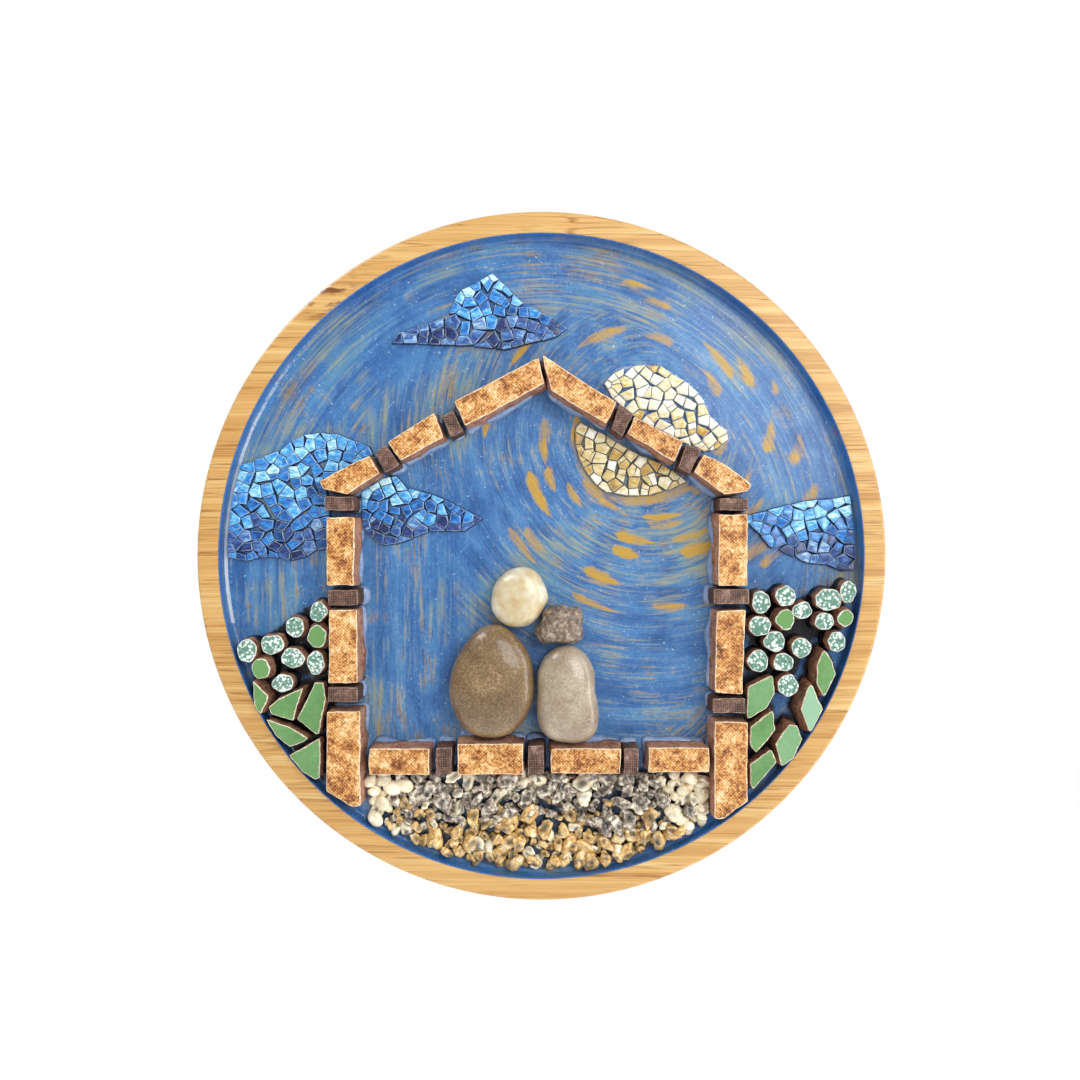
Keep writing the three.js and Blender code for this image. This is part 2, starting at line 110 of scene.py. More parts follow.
def start_material(name, settings):
    """A new material with its Principled shader set, and its node tree."""
    material = bpy.data.materials.new(name)
    material.use_nodes = True
    tree = material.node_tree
    tree.nodes.clear()
    shader = add(tree, "ShaderNodeBsdfPrincipled", settings)
    add(tree, "ShaderNodeOutputMaterial", links={"Surface": shader.outputs[0]})
    return material, tree, shader


def per_metre(size_mm):
    """Pattern scale that makes a texture's feature the given size in millimetres."""
    return 1 / (size_mm * MM)


def relief(tree, shader, height, depth_mm):
    """Raises the surface by a pattern of the given depth."""
    bump = add(tree, "ShaderNodeBump", {"Strength": 1.0, "Distance": depth_mm * MM}, {"Height": height})
    tree.links.new(bump.outputs[0], shader.inputs["Normal"])


def bamboo():
    """Laminated bamboo, turned and satin lacquered: thin brown fibre lines, all level, over honey
    strips, with a few dark flecks at upper left, where the canes had their knuckles."""
    material, tree, shader = start_material("laminated_bamboo", {"IOR": 1.5, "Coat Weight": 0.2,
                                                                  "Coat Roughness": 0.25})
    place = add(tree, "ShaderNodeTexCoord").outputs["Object"]
    bend = add(tree, "ShaderNodeTexNoise", {"Scale": per_metre(40), "Detail": 1.0}, {"Vector": place})
    sway = add(tree, "ShaderNodeVectorMath", {"operation": "SCALE", "Scale": 1.5 * MM},
               {0: bend.outputs["Color"]}).outputs[0]
    swayed = add(tree, "ShaderNodeVectorMath", {}, {0: place, 1: sway}).outputs[0]
    along = add(tree, "ShaderNodeMapping", {"Scale": (0.015, 1.0, 1.0)}, {"Vector": swayed}).outputs[0]
    broken = add(tree, "ShaderNodeMapping", {"Scale": (0.12, 1.0, 1.0)}, {"Vector": swayed}).outputs[0]
    strips = add(tree, "ShaderNodeTexNoise", {"Scale": per_metre(2.6), "Detail": 3.0, "Roughness": 0.7},
                 {"Vector": along})
    base = add(tree, "ShaderNodeValToRGB", {"stops": [
        (0.34, "#c59150"), (0.46, "#d3a35d"), (0.56, "#dcb06b"), (0.7, "#e8c588")]},
        {"Fac": strips.outputs[0]}).outputs[0]
    strength = add(tree, "ShaderNodeTexNoise", {"Scale": per_metre(2.2), "Detail": 2.0},
                   {"Vector": broken}).outputs[0]
    kept = spread(tree, strength, 0.32, 0.55)
    for pitch_mm, width, share, line_colour in ((1.25, 0.035, 0.9, "#96621f"), (0.85, 0.05, 0.75, "#b27c38")):
        fibre = add(tree, "ShaderNodeTexNoise", {"Scale": per_metre(pitch_mm), "Detail": 0.0},
                    {"Vector": along}).outputs[0]
        off = add(tree, "ShaderNodeMath", {"operation": "SUBTRACT", 1: 0.5}, {0: fibre})
        off = add(tree, "ShaderNodeMath", {"operation": "ABSOLUTE"}, {0: off.outputs[0]})
        line = add(tree, "ShaderNodeMapRange", {"From Max": width, "To Min": share, "To Max": 0.0},
                   {"Value": off.outputs[0]})
        amount = add(tree, "ShaderNodeMath", {"operation": "MULTIPLY"}, {0: line.outputs[0], 1: kept})
        base = add(tree, "ShaderNodeMix", {"data_type": "RGBA", 7: line_colour},
                   {0: amount.outputs[0], 6: base}).outputs[2]
    knuckle_place = add(tree, "ShaderNodeMapping", {"Scale": (0.3, 1.0, 1.0)}, {"Vector": place})
    knuckles = add(tree, "ShaderNodeTexNoise", {"Scale": per_metre(1.9), "Detail": 2.0},
                   {"Vector": knuckle_place.outputs[0]})
    apart = add(tree, "ShaderNodeVectorMath", {"operation": "DISTANCE", 1: (-0.069, -RIM_HEIGHT, 0.084)},
                {0: place}).outputs["Value"]
    close = add(tree, "ShaderNodeMapRange", {"From Min": 4 * MM, "From Max": 12 * MM, "To Min": 1.0,
                                             "To Max": 0.0}, {"Value": apart})
    fleck = add(tree, "ShaderNodeMath", {"operation": "MULTIPLY"},
                {0: close.outputs[0], 1: spread(tree, knuckles.outputs[0], 0.5, 0.6)})
    colour = add(tree, "ShaderNodeMix", {"data_type": "RGBA", 7: "#7d4a22"}, {0: fleck.outputs[0], 6: base})
    tree.links.new(colour.outputs[2], shader.inputs["Base Color"])
    gloss = add(tree, "ShaderNodeMapRange", {"To Min": 0.36, "To Max": 0.55}, {"Value": strips.outputs[0]})
    tree.links.new(gloss.outputs[0], shader.inputs["Roughness"])
    relief(tree, shader, strips.outputs[0], 0.04)
    return material


def swirl_place(tree, centre, turn_mm, cross_mm):
    """Pattern coordinates that follow circles round a layout point: long along, narrow across."""
    place = add(tree, "ShaderNodeTexCoord").outputs["Object"]
    flat = add(tree, "ShaderNodeVectorMath", {"operation": "MULTIPLY", 1: (1.0, 0.0, 1.0)}, {0: place})
    arm = add(tree, "ShaderNodeVectorMath", {"operation": "SUBTRACT", 1: (centre[0], 0.0, centre[1])},
              {0: flat.outputs[0]}).outputs[0]
    reach = add(tree, "ShaderNodeVectorMath", {"operation": "LENGTH"}, {0: arm}).outputs["Value"]
    heading = add(tree, "ShaderNodeVectorMath", {"operation": "NORMALIZE"}, {0: arm}).outputs[0]
    around = add(tree, "ShaderNodeVectorMath", {"operation": "SCALE", "Scale": 60 / turn_mm}, {0: heading})
    across = add(tree, "ShaderNodeMath", {"operation": "MULTIPLY", 1: per_metre(cross_mm)}, {0: reach})
    lift = add(tree, "ShaderNodeCombineXYZ", {}, {"Y": across.outputs[0]})
    return add(tree, "ShaderNodeVectorMath", {}, {0: around.outputs[0], 1: lift.outputs[0]}).outputs[0]


def brushed(tree, centre, turn_mm, cross_mm, detail=2.0):
    """Streaks left by a brush that went in circles round a layout point."""
    return add(tree, "ShaderNodeTexNoise", {"Scale": 1.0, "Detail": detail, "Roughness": 0.6,
                                            "Distortion": 0.15},
               {"Vector": swirl_place(tree, centre, turn_mm, cross_mm)}).outputs[0]


def blended(tree, amount, first, second):
    """One of two values, by an amount from 0 to 1."""
    return add(tree, "ShaderNodeMix", {}, {0: amount, 2: first, 3: second}).outputs[0]


def weighed(tree, first, weight, second):
    """The first value times a weight, plus the second."""
    return add(tree, "ShaderNodeMath", {"operation": "MULTIPLY_ADD", 1: weight},
               {0: first, 2: second}).outputs[0]


def spread(tree, value, low, high, top=1.0):
    """A value stretched from its own range to 0 and the given top, and held there."""
    return add(tree, "ShaderNodeMapRange", {"From Min": low, "From Max": high, "To Max": top},
               {"Value": value}).outputs[0]


def sky_paint(centre):
    """Acrylic paint brushed by hand and varnished: streaks of several blues that circle the sun, or follow
    the rim near it, with sand and green-grey dragged through, dry-brushed ochre dabs, near-black paint under
    the bushes with painted shade round them, painted shade at the strips' feet and under the gravel, pale
    glue haze by the sun, worn paint with a painted highlight on the arris, and pale glue with a painted
    highlight in the left of the cove."""
    material, tree, shader = start_material("brushed_acrylic_sky", {"IOR": 1.47, "Coat Weight": 0.25,
                                                                    "Coat Roughness": 0.12})
    place = add(tree, "ShaderNodeTexCoord").outputs["Object"]
    patches = add(tree, "ShaderNodeTexNoise", {"Scale": per_metre(34), "Detail": 3.0, "Roughness": 0.6},
                  {"Vector": place}).outputs[0]
    drift = add(tree, "ShaderNodeTexNoise", {"Scale": per_metre(17), "Detail": 2.0,
                                             "Distortion": 1.2}, {"Vector": place}).outputs[0]
    grit = add(tree, "ShaderNodeTexNoise", {"Scale": per_metre(1.1), "Detail": 3.0, "Roughness": 0.7},
               {"Vector": place}).outputs[0]
    flat = add(tree, "ShaderNodeVectorMath", {"operation": "MULTIPLY", 1: (1.0, 0.0, 1.0)}, {0: place})
    out = add(tree, "ShaderNodeVectorMath", {"operation": "LENGTH"}, {0: flat.outputs[0]}).outputs["Value"]
    by_rim = spread(tree, weighed(tree, drift, 45 * MM, out), 93 * MM, 103 * MM)
    streaks = blended(tree, by_rim, brushed(tree, centre, 13, 1.0, 3.0), brushed(tree, (0, 0), 15, 1.0, 3.0))
    hairs = blended(tree, by_rim, brushed(tree, centre, 8, 0.38), brushed(tree, (0, 0), 9, 0.38))
    broad = blended(tree, by_rim, brushed(tree, centre, 22, 5.5), brushed(tree, (0, 0), 26, 5.5))
    apart = add(tree, "ShaderNodeSeparateXYZ", {}, {0: place})
    leftward = add(tree, "ShaderNodeMapRange", {"From Min": -14 * MM, "From Max": -38 * MM},
                   {"Value": apart.outputs["X"]}).outputs[0]
    downward = add(tree, "ShaderNodeMapRange", {"From Min": 34 * MM, "From Max": 8 * MM},
                   {"Value": apart.outputs["Z"]}).outputs[0]
    upright = add(tree, "ShaderNodeMath", {"operation": "MULTIPLY"}, {0: leftward, 1: downward}).outputs[0]
    tall = add(tree, "ShaderNodeMapping", {"Scale": (1.0, 1.0, 0.07)}, {"Vector": place}).outputs[0]
    combed = [add(tree, "ShaderNodeTexNoise", {"Scale": per_metre(size), "Detail": 3.0},
                  {"Vector": tall}).outputs[0] for size in (1.1, 0.45, 5.0)]
    streaks, hairs, broad = [blended(tree, upright, turning, straight)
                             for turning, straight in zip((streaks, hairs, broad), combed)]
    level = weighed(tree, grit, 0.55, weighed(tree, drift, 0.8, broad))
    level = weighed(tree, streaks, 0.45, weighed(tree, hairs, 0.35, level))
    blue = add(tree, "ShaderNodeValToRGB", {"stops": [
        (0.18, "#28588f"), (0.34, "#3567a5"), (0.5, "#447ab4"), (0.64, "#5489bd"), (0.85, "#7fabd0")]},
        {"Fac": spread(tree, level, 1.05, 2.1)}).outputs[0]
    tints = add(tree, "ShaderNodeMix", {"data_type": "RGBA", 7: "#5d8ea6"},
                {0: spread(tree, weighed(tree, broad, 0.5, patches), 0.78, 0.98, 0.7), 6: blue}).outputs[2]
    sand = add(tree, "ShaderNodeMath", {"operation": "MULTIPLY"}, {0: patches, 1: streaks}).outputs[0]
    sky = add(tree, "ShaderNodeMix", {"data_type": "RGBA", 7: "#a3a583"},
              {0: spread(tree, sand, 0.26, 0.4, 0.75), 6: tints}).outputs[2]
    scratches = add(tree, "ShaderNodeMath", {"operation": "MULTIPLY"}, {0: hairs, 1: drift}).outputs[0]
    sky = add(tree, "ShaderNodeMix", {"data_type": "RGBA", 7: "#1f4379"},
              {0: spread(tree, scratches, 0.32, 0.4, 0.8), 6: sky}).outputs[2]
    crumbs = add(tree, "ShaderNodeTexNoise", {"Scale": per_metre(0.9), "Detail": 1.0}, {"Vector": place})
    sky = add(tree, "ShaderNodeMix", {"data_type": "RGBA", 7: "#b9cfe2"},
              {0: spread(tree, crumbs.outputs[0], 0.73, 0.77, 0.7), 6: sky}).outputs[2]
    bristles = weighed(tree, hairs, 0.6, weighed(tree, streaks, 0.9, weighed(tree, grit, 0.4, drift)))
    # The pale layer is glue haze by the sun, plus worn paint and a painted highlight on the arris and pale
    # glue with a painted highlight in the left of the cove; the dark layer is near-black paint under the
    # bushes plus painted shade round them, along the strips' feet and under the gravel.
    for layer, colour, low, high, texture, share in [
            ("dab", "#c29a3a", 2.0, 2.75, bristles, 1.3),
            ("glue", "#d9e2e6", 0.85, 1.25, grit, 0.9), ("dark", "#090e1b", 0.8, 1.15, grit, 0.9)]:
        amount = add(tree, "ShaderNodeAttribute", {"attribute_name": layer}).outputs["Fac"]
        worn = spread(tree, weighed(tree, texture, share, amount), low, high)
        sky = add(tree, "ShaderNodeMix", {"data_type": "RGBA", 7: colour}, {0: worn, 6: sky}).outputs[2]
    wall = add(tree, "ShaderNodeAttribute", {"attribute_name": "wall"}).outputs["Fac"]
    sky = add(tree, "ShaderNodeMix", {"data_type": "RGBA", 7: "#2a61a6"},
              {0: spread(tree, wall, 0.1, 1.2), 6: sky}).outputs[2]
    tree.links.new(sky, shader.inputs["Base Color"])
    tree.links.new(spread(tree, streaks, 0.9, 0.1, 0.6), shader.inputs["Roughness"])
    relief(tree, shader, weighed(tree, hairs, 1.0, streaks), 0.12)
    return material


def speckled(name, settings, stops, grain_mm, patch_mm, patch_share, depth_mm, detail=5.0):
    """A mottled surface: grains of one size over patches of another, coloured by one ramp."""
    material, tree, shader = start_material(name, settings)
    place = add(tree, "ShaderNodeTexCoord").outputs["Object"]
    grains = add(tree, "ShaderNodeTexNoise", {"Scale": per_metre(grain_mm), "Detail": detail,
                                              "Roughness": 0.65}, {"Vector": place})
    patches = add(tree, "ShaderNodeTexNoise", {"Scale": per_metre(patch_mm), "Detail": 2.0},
                  {"Vector": place})
    mixed = add(tree, "ShaderNodeMix", {0: patch_share}, {2: grains.outputs[0], 3: patches.outputs[0]})
    ramp = add(tree, "ShaderNodeValToRGB", {"stops": stops}, {"Fac": mixed.outputs[0]})
    tree.links.new(ramp.outputs[0], shader.inputs["Base Color"])
    relief(tree, shader, grains.outputs[0], depth_mm)
    return material, tree, shader, ramp


def tan_glaze():
    """Rustic stoneware glaze over a cloth-pressed face: tan, with rusty and cream grains that partly
    follow the diagonal weave. The 0.5 mm threads are drawn at 0.75 mm so that they show."""
    material, tree, shader = start_material("tan_stoneware_glaze", {"Roughness": 0.38, "IOR": 1.52})
    place = add(tree, "ShaderNodeTexCoord").outputs["Object"]
    mirrored = add(tree, "ShaderNodeMapping", {"Scale": (-1.0, 1.0, 1.0)}, {"Vector": place}).outputs[0]
    threads = []
    for vector in (place, mirrored):
        wave = add(tree, "ShaderNodeTexWave", {"Scale": 0.444 / (0.75 * MM), "Distortion": 2.5,
                                               "Detail": 2.0, "Detail Scale": 0.6,
                                               "bands_direction": "DIAGONAL"}, {"Vector": vector})
        threads.append(wave.outputs["Fac"])
    weave = add(tree, "ShaderNodeMath", {"operation": "MULTIPLY"}, {0: threads[0], 1: threads[1]}).outputs[0]
    grains = add(tree, "ShaderNodeTexNoise", {"Scale": per_metre(1.0), "Detail": 4.0, "Roughness": 0.7},
                 {"Vector": place}).outputs[0]
    patches = add(tree, "ShaderNodeTexNoise", {"Scale": per_metre(4.5), "Detail": 3.0, "Roughness": 0.65},
                  {"Vector": place}).outputs[0]
    level = weighed(tree, weave, 0.13, weighed(tree, patches, 0.9, grains))
    ramp = add(tree, "ShaderNodeValToRGB", {"stops": [
        (0.08, "#5f3317"), (0.26, "#98582a"), (0.4, "#c6843f"), (0.52, "#dca05a"), (0.66, "#eec07f"),
        (0.88, "#fde6bb")]}, {"Fac": spread(tree, level, 0.7, 1.3)})
    tree.links.new(ramp.outputs[0], shader.inputs["Base Color"])
    relief(tree, shader, weighed(tree, weave, 0.4, grains), 0.16)
    return material


def chipped_body(name, pale, deep):
    """The pale, crumbly arris that nipping leaves between a glaze and its clay."""
    return speckled(name, {"Roughness": 0.7, "IOR": 1.5}, [(0.35, deep), (0.6, pale)],
                    0.7, 3.0, 0.3, 0.15)[0]


def fired_clay(name, deep, middle, pale):
    """Broken side of a fired clay tile: matt, rough, and darker in the low spots of its grain."""
    return speckled(name, {"Roughness": 0.85, "IOR": 1.45}, [
        (0.35, deep), (0.5, middle), (0.66, pale)], 0.9, 4.0, 0.4, 0.3)[0]


def ribbed_clay():
    """Brown clay with the print of a coarse cloth on its face. The 0.5 mm threads are drawn at
    0.75 mm so that they show."""
    material, tree, shader, ramp = speckled("cloth_printed_brown_clay", {"Roughness": 0.5, "IOR": 1.5}, [
        (0.34, "#29160f"), (0.46, "#533529"), (0.56, "#7a594b"), (0.68, "#b79989")], 1.1, 4.0, 0.5, 0.14)
    place = add(tree, "ShaderNodeTexCoord").outputs["Object"]
    threads = [add(tree, "ShaderNodeTexWave", {"Scale": 0.314 / (0.75 * MM), "Distortion": 2.0,
                                               "Detail": 2.0, "Detail Scale": 1.0,
                                               "bands_direction": direction},
                   {"Vector": place}).outputs["Fac"] for direction in ("X", "Z")]
    weave = add(tree, "ShaderNodeMath", {"operation": "MULTIPLY"}, {0: threads[0], 1: threads[1]}).outputs[0]
    printed = add(tree, "ShaderNodeMix", {"data_type": "RGBA", 7: "#b29080"},
                  {0: spread(tree, weave, 0.35, 1.0, 0.5), 6: ramp.outputs[0]}).outputs[2]
    tree.links.new(printed, shader.inputs["Base Color"])
    relief(tree, shader, weave, 0.12)
    return material


def green_glaze():
    """Glossy leaf-green glaze, even, with a few pinholes and paler streaks. The tint attribute
    says how pale the piece is."""
    material, tree, shader, ramp = speckled("leaf_green_glaze", {"Roughness": 0.18, "IOR": 1.54,
                                                                 "Coat Weight": 0.3}, [
        (0.3, "#5a8a4e"), (0.5, "#6b9a5e"), (0.62, "#76a568"), (0.8, "#8fb784")], 1.6, 9.0, 0.55, 0.04)
    tint = add(tree, "ShaderNodeAttribute", {"attribute_name": "tint"}).outputs["Fac"]
    paler = add(tree, "ShaderNodeMix", {"data_type": "RGBA", 7: "#a3cfae"},
                {0: spread(tree, tint, 0.6, 1.0, 0.8), 6: ramp.outputs[0]})
    tree.links.new(paler.outputs[2], shader.inputs["Base Color"])
    return material


def flecked_glaze():
    """Sea-green glaze flecked with white drops, about a millimetre apart, that run together in
    places."""
    material, tree, shader = start_material("white_flecked_green_glaze", {"Roughness": 0.22, "IOR": 1.54})
    place = add(tree, "ShaderNodeTexCoord").outputs["Object"]
    warp = add(tree, "ShaderNodeTexNoise", {"Scale": per_metre(1.3), "Detail": 2.0}, {"Vector": place})
    shift = add(tree, "ShaderNodeVectorMath", {"operation": "SCALE", "Scale": 0.7 * MM},
                {0: warp.outputs["Color"]})
    moved = add(tree, "ShaderNodeVectorMath", {}, {0: place, 1: shift.outputs[0]})
    drops = add(tree, "ShaderNodeTexVoronoi", {"Scale": per_metre(1.05), "feature": "F1"},
                {"Vector": moved.outputs[0]})
    pools = add(tree, "ShaderNodeTexNoise", {"Scale": per_metre(2.6), "Detail": 1.0}, {"Vector": place})
    reach = weighed(tree, pools.outputs[0], -0.9, drops.outputs["Distance"])
    white = add(tree, "ShaderNodeMapRange", {"From Min": -0.1, "From Max": 0.02, "To Min": 1.0,
                                             "To Max": 0.0}, {"Value": reach})
    ground = add(tree, "ShaderNodeValToRGB", {"stops": [
        (0.35, "#5b8473"), (0.55, "#739c89"), (0.75, "#8cb3a0")]}, {"Fac": warp.outputs[0]})
    glaze = add(tree, "ShaderNodeMix", {"data_type": "RGBA", 7: "#e6f4ee"},
                {0: white.outputs[0], 6: ground.outputs[0]})
    plain = add(tree, "ShaderNodeAttribute", {"attribute_name": "plain"}).outputs["Fac"]
    colour = add(tree, "ShaderNodeMix", {"data_type": "RGBA", 7: "#709f5f"},
                 {0: plain, 6: glaze.outputs[2]})
    tree.links.new(colour.outputs[2], shader.inputs["Base Color"])
    relief(tree, shader, warp.outputs[0], 0.03)
    return material


def painted_eggshell(name, stops, rubbed_edge):
    """Painted and varnished eggshell. The tint attribute runs from the palest to the deepest piece,
    the brush left lights and darks within each, and its broken edge is pale in places."""
    material, tree, shader = start_material(name, {"Roughness": 0.26, "IOR": 1.5, "Coat Weight": 0.5,
                                                   "Coat Roughness": 0.1})
    place = add(tree, "ShaderNodeTexCoord").outputs["Object"]
    slanted = add(tree, "ShaderNodeMapping", {"Scale": (0.5, 1.0, 1.0), "Rotation": (0, 0.7, 0)},
                  {"Vector": place}).outputs[0]
    clouding = add(tree, "ShaderNodeTexNoise", {"Scale": per_metre(1.4), "Detail": 4.0, "Roughness": 0.65,
                                                "Distortion": 0.6}, {"Vector": slanted}).outputs[0]
    tint = add(tree, "ShaderNodeAttribute", {"attribute_name": "tint"}).outputs["Fac"]
    level = weighed(tree, clouding, 1.7, tint)
    level = add(tree, "ShaderNodeMath", {"operation": "SUBTRACT", 1: 0.85}, {0: level}).outputs[0]
    ramp = add(tree, "ShaderNodeValToRGB", {"stops": stops}, {"Fac": level})
    edge = add(tree, "ShaderNodeAttribute", {"attribute_name": "edge"}).outputs["Fac"]
    worn = spread(tree, weighed(tree, clouding, 1.4, edge), 1.45, 2.0)
    rubbed = add(tree, "ShaderNodeMix", {"data_type": "RGBA", 7: rubbed_edge}, {0: worn, 6: ramp.outputs[0]})
    tree.links.new(rubbed.outputs[2], shader.inputs["Base Color"])
    relief(tree, shader, clouding, 0.15)
    return material


def varnished_stone(name, stops, grain_mm, patch_mm, patch_share, depth_mm, gloss):
    """A sea-worn stone under clear varnish: fine mineral grain and soft cloudy patches."""
    settings = {"Roughness": gloss, "IOR": 1.5, "Coat Weight": 0.6, "Coat Roughness": 0.1}
    return speckled(name, settings, stops, grain_mm, patch_mm, patch_share, depth_mm)[0]


def tinted_gravel(name, stops, spot_mm, depth_mm, gloss):
    """Small varnished stones of one sort, each a tone of its own, darkened in their hollows by painted shade
    and pale on their ridges, partly their own pale rims and partly painted highlight."""
    material, tree, shader, ramp = speckled(name, {"Roughness": gloss, "IOR": 1.52, "Coat Weight": 0.9,
                                                   "Coat Roughness": 0.05}, stops, spot_mm, 3.0, 0.25,
                                            depth_mm)
    tint = add(tree, "ShaderNodeAttribute", {"attribute_name": "tint"}).outputs["Fac"]
    # The crest darkens the hollows as painted shade and lifts the ridges, partly as painted highlight.
    crest = add(tree, "ShaderNodeAttribute", {"attribute_name": "crest"}).outputs["Fac"]
    shade = weighed(tree, crest, 0.95, spread(tree, tint, 0.0, 1.0, 0.4))
    toned = add(tree, "ShaderNodeVectorMath", {"operation": "SCALE"}, {0: ramp.outputs[0], "Scale": shade})
    tree.links.new(toned.outputs[0], shader.inputs["Base Color"])
    return material


def clear_glue():
    """Set clear craft glue: glassy, a little milky, with the blue of the paint in it."""
    return speckled("set_clear_glue", {"Roughness": 0.08, "IOR": 1.47, "Transmission Weight": 0.3}, [
        (0.35, "#7fa6e0"), (0.55, "#a9c3ee"), (0.72, "#e8f0fb")], 1.6, 5.0, 0.4, 0.12)[0]


def tile_adhesive():
    """Dark tile adhesive, troweled and glossy in its wet-looking ridges."""
    return speckled("dark_tile_adhesive", {"Roughness": 0.35, "IOR": 1.5}, [
        (0.35, "#07090f"), (0.6, "#141a26"), (0.8, "#2b3444")], 1.2, 5.0, 0.4, 0.4)[0]


def painted_bed(name, deep, pale):
    """Paint that ran into the joints between the shell pieces."""
    return speckled(name, {"Roughness": 0.4, "IOR": 1.47}, [(0.35, deep), (0.65, pale)],
                    1.5, 6.0, 0.4, 0.08)[0]


# ---- Layout helpers ----

def islands(faces):
    """Groups of the given faces that share edges."""
    left = set(faces)
    groups = []
    while left:
        group, queue = set(), [left.pop()]
        while queue:
            face = queue.pop()
            group.add(face)
            for edge in face.edges:
                for other in edge.link_faces:
                    if other in left:
                        left.remove(other)
                        queue.append(other)
        groups.append(group)
    return groups


def rim_of(group):
    """The outer corners of a group of flat faces, in order, anticlockwise as seen from the front."""
    following = {}
    for face in group:
        for loop in face.loops:
            others = [f for f in loop.edge.link_faces if f is not face and f in group]
            if not others:
                following[loop.vert] = loop.link_loop_next.vert
    start = next(iter(following))
    corners, vert = [], start
    while True:
        corners.append((vert.co.x, vert.co.z))
        vert = following[vert]
        if vert is start or vert not in following or len(corners) > len(following):
            break
    area = sum(a[0] * b[1] - b[0] * a[1] for a, b in zip(corners, corners[1:] + corners[:1]))
    return corners if area > 0 else corners[::-1]


def flat_tops(node, above):
    """Outlines and mean heights of the flat front faces of a node that stand above a height."""
    mesh = bmesh.new()
    mesh.from_mesh(NODES[node].data)
    bmesh.ops.remove_doubles(mesh, verts=mesh.verts, dist=0.002 * MM)
    mesh.normal_update()
    tops = [f for f in mesh.faces if f.normal.y < -0.9 and -f.calc_center_median().y > above]
    found = []
    for group in islands(tops):
        heights = [-v.co.y for f in group for v in f.verts]
        found.append((rim_of(group), sum(heights) / len(heights)))
    mesh.free()
    return sorted(found, key=lambda top: top[0][0])


def bed_outline(node):
    """Outline of a node's flat underside."""
    mesh = bmesh.new()
    mesh.from_mesh(NODES[node].data)
    bmesh.ops.remove_doubles(mesh, verts=mesh.verts, dist=0.002 * MM)
    mesh.normal_update()
    base = [f for f in mesh.faces if f.normal.y > 0.9 and -f.calc_center_median().y < BED_HEIGHT + 0.1 * MM]
    outline = rim_of(max(islands(base), key=len))
    mesh.free()
    return outline


def walked(outline, step):
    """Points along a closed outline, its corners among them, about a step apart."""
    points = []
    for (ax, az), (bx, bz) in zip(outline, outline[1:] + outline[:1]):
        count = max(1, round(math.hypot(bx - ax, bz - az) / step))
        points += [(ax + (bx - ax) * i / count, az + (bz - az) * i / count) for i in range(count)]
    return np.array(points)


def outward(points):
    """Unit vectors that point out of an anticlockwise outline at each of its points."""
    along = np.roll(points, -1, 0) - np.roll(points, 1, 0)
    along /= np.maximum(np.linalg.norm(along, axis=1, keepdims=True), 1e-9)
    return np.stack([along[:, 1], -along[:, 0]], 1)


def rough(points, height, grain_mm, seed):
    """A smooth random number from -1 to 1 at each point of a ring, of the given grain."""
    scale = per_metre(grain_mm)
    return np.array([noise.noise((x * scale, height * scale + seed, z * scale)) for x, z in points])


def softened(points, passes):
    """An outline with its corners worn down."""
    for _ in range(passes):
        points = 0.5 * points + 0.25 * (np.roll(points, 1, 0) + np.roll(points, -1, 0))
    return points


class Build:
    """Collects vertices, faces, finishes and named values of one piece."""

    def __init__(self):
        self.points, self.faces, self.finish, self.values = [], [], [], {}

    def ring(self, points, heights, **values):
        """Adds a ring of layout points at the given heights, and returns its vertex numbers."""
        start = len(self.points)
        heights = np.broadcast_to(heights, len(points))
        self.points += [(x, -h, z) for (x, z), h in zip(points, heights)]
        for name, value in values.items():
            store = self.values.setdefault(name, {})
            store.update((start + i, float(value)) for i in range(len(points)))
        return list(range(start, start + len(points)))

    def band(self, lower, upper, finish=0):
        """Joins two rings of the same length, the lower one further from the viewer."""
        for i in range(len(lower)):
            j = (i + 1) % len(lower)
            self.faces.append((lower[i], lower[j], upper[j], upper[i]))
            self.finish.append(finish)

    def cap(self, ring, finish=0, back=False):
        self.faces.append(tuple(reversed(ring)) if back else tuple(ring))
        self.finish.append(finish)

    def piece(self, name, materials, replaces, slot, smooth=True):
        """Makes the object, on the panel's one body."""
        mesh = bpy.data.meshes.new(name)
        mesh.from_pydata(self.points, [], self.faces)
        for material in materials:
            mesh.materials.append(material)
        mesh.polygons.foreach_set("material_index", self.finish)
        mesh.polygons.foreach_set("use_smooth", [smooth and len(f) < 5 for f in self.faces])
        for value, store in self.values.items():
            layer = mesh.attributes.new(value, "FLOAT", "POINT")
            layer.data.foreach_set("value", [store.get(i, 0.0) for i in range(len(self.points))])
        mesh.update()
        return settle(mesh, name, replaces)


def settle(mesh, name, replaces):
    """Closes long faces with triangles, faces them out, and puts the piece on the panel."""
    work = bmesh.new()
    work.from_mesh(mesh)
    bmesh.ops.triangulate(work, faces=[f for f in work.faces if len(f.verts) > 4])
    bmesh.ops.recalc_face_normals(work, faces=work.faces)
    work.to_mesh(mesh)
    work.free()
    piece = bpy.data.objects.new(name, mesh)
    bpy.context.scene.collection.objects.link(piece)
    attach(piece, "root")
    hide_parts(*replaces)
    return piece


# ---- Tray ----

EDGE = 2.4 * MM
COVE = 0.6 * MM
PAINT_THICKNESS = 0.15 * MM
PAINT_COVE = 1.2 * MM


def arc(centre, radius, start, end, steps):
    """Points of an arc in the (radius, height) section, angles in degrees."""
    angles = np.radians(np.linspace(start, end, steps))
    return [(centre[0] + radius * math.cos(a), centre[1] + radius * math.sin(a)) for a in angles]


def turned(profile, segments):
    """A turned body from a (radius, height) profile that starts and ends on the axis."""
    body = Build()
    turns = np.linspace(0, 2 * math.pi, segments, endpoint=False)
    unit = np.stack([np.cos(turns), np.sin(turns)], 1)
    rings = [body.ring(unit * radius, height) for radius, height in profile if radius > 0]
    for lower, upper in zip(rings, rings[1:]):
        body.band(lower, upper)
    body.cap(rings[0], back=True)
    body.cap(rings[-1])
    return body


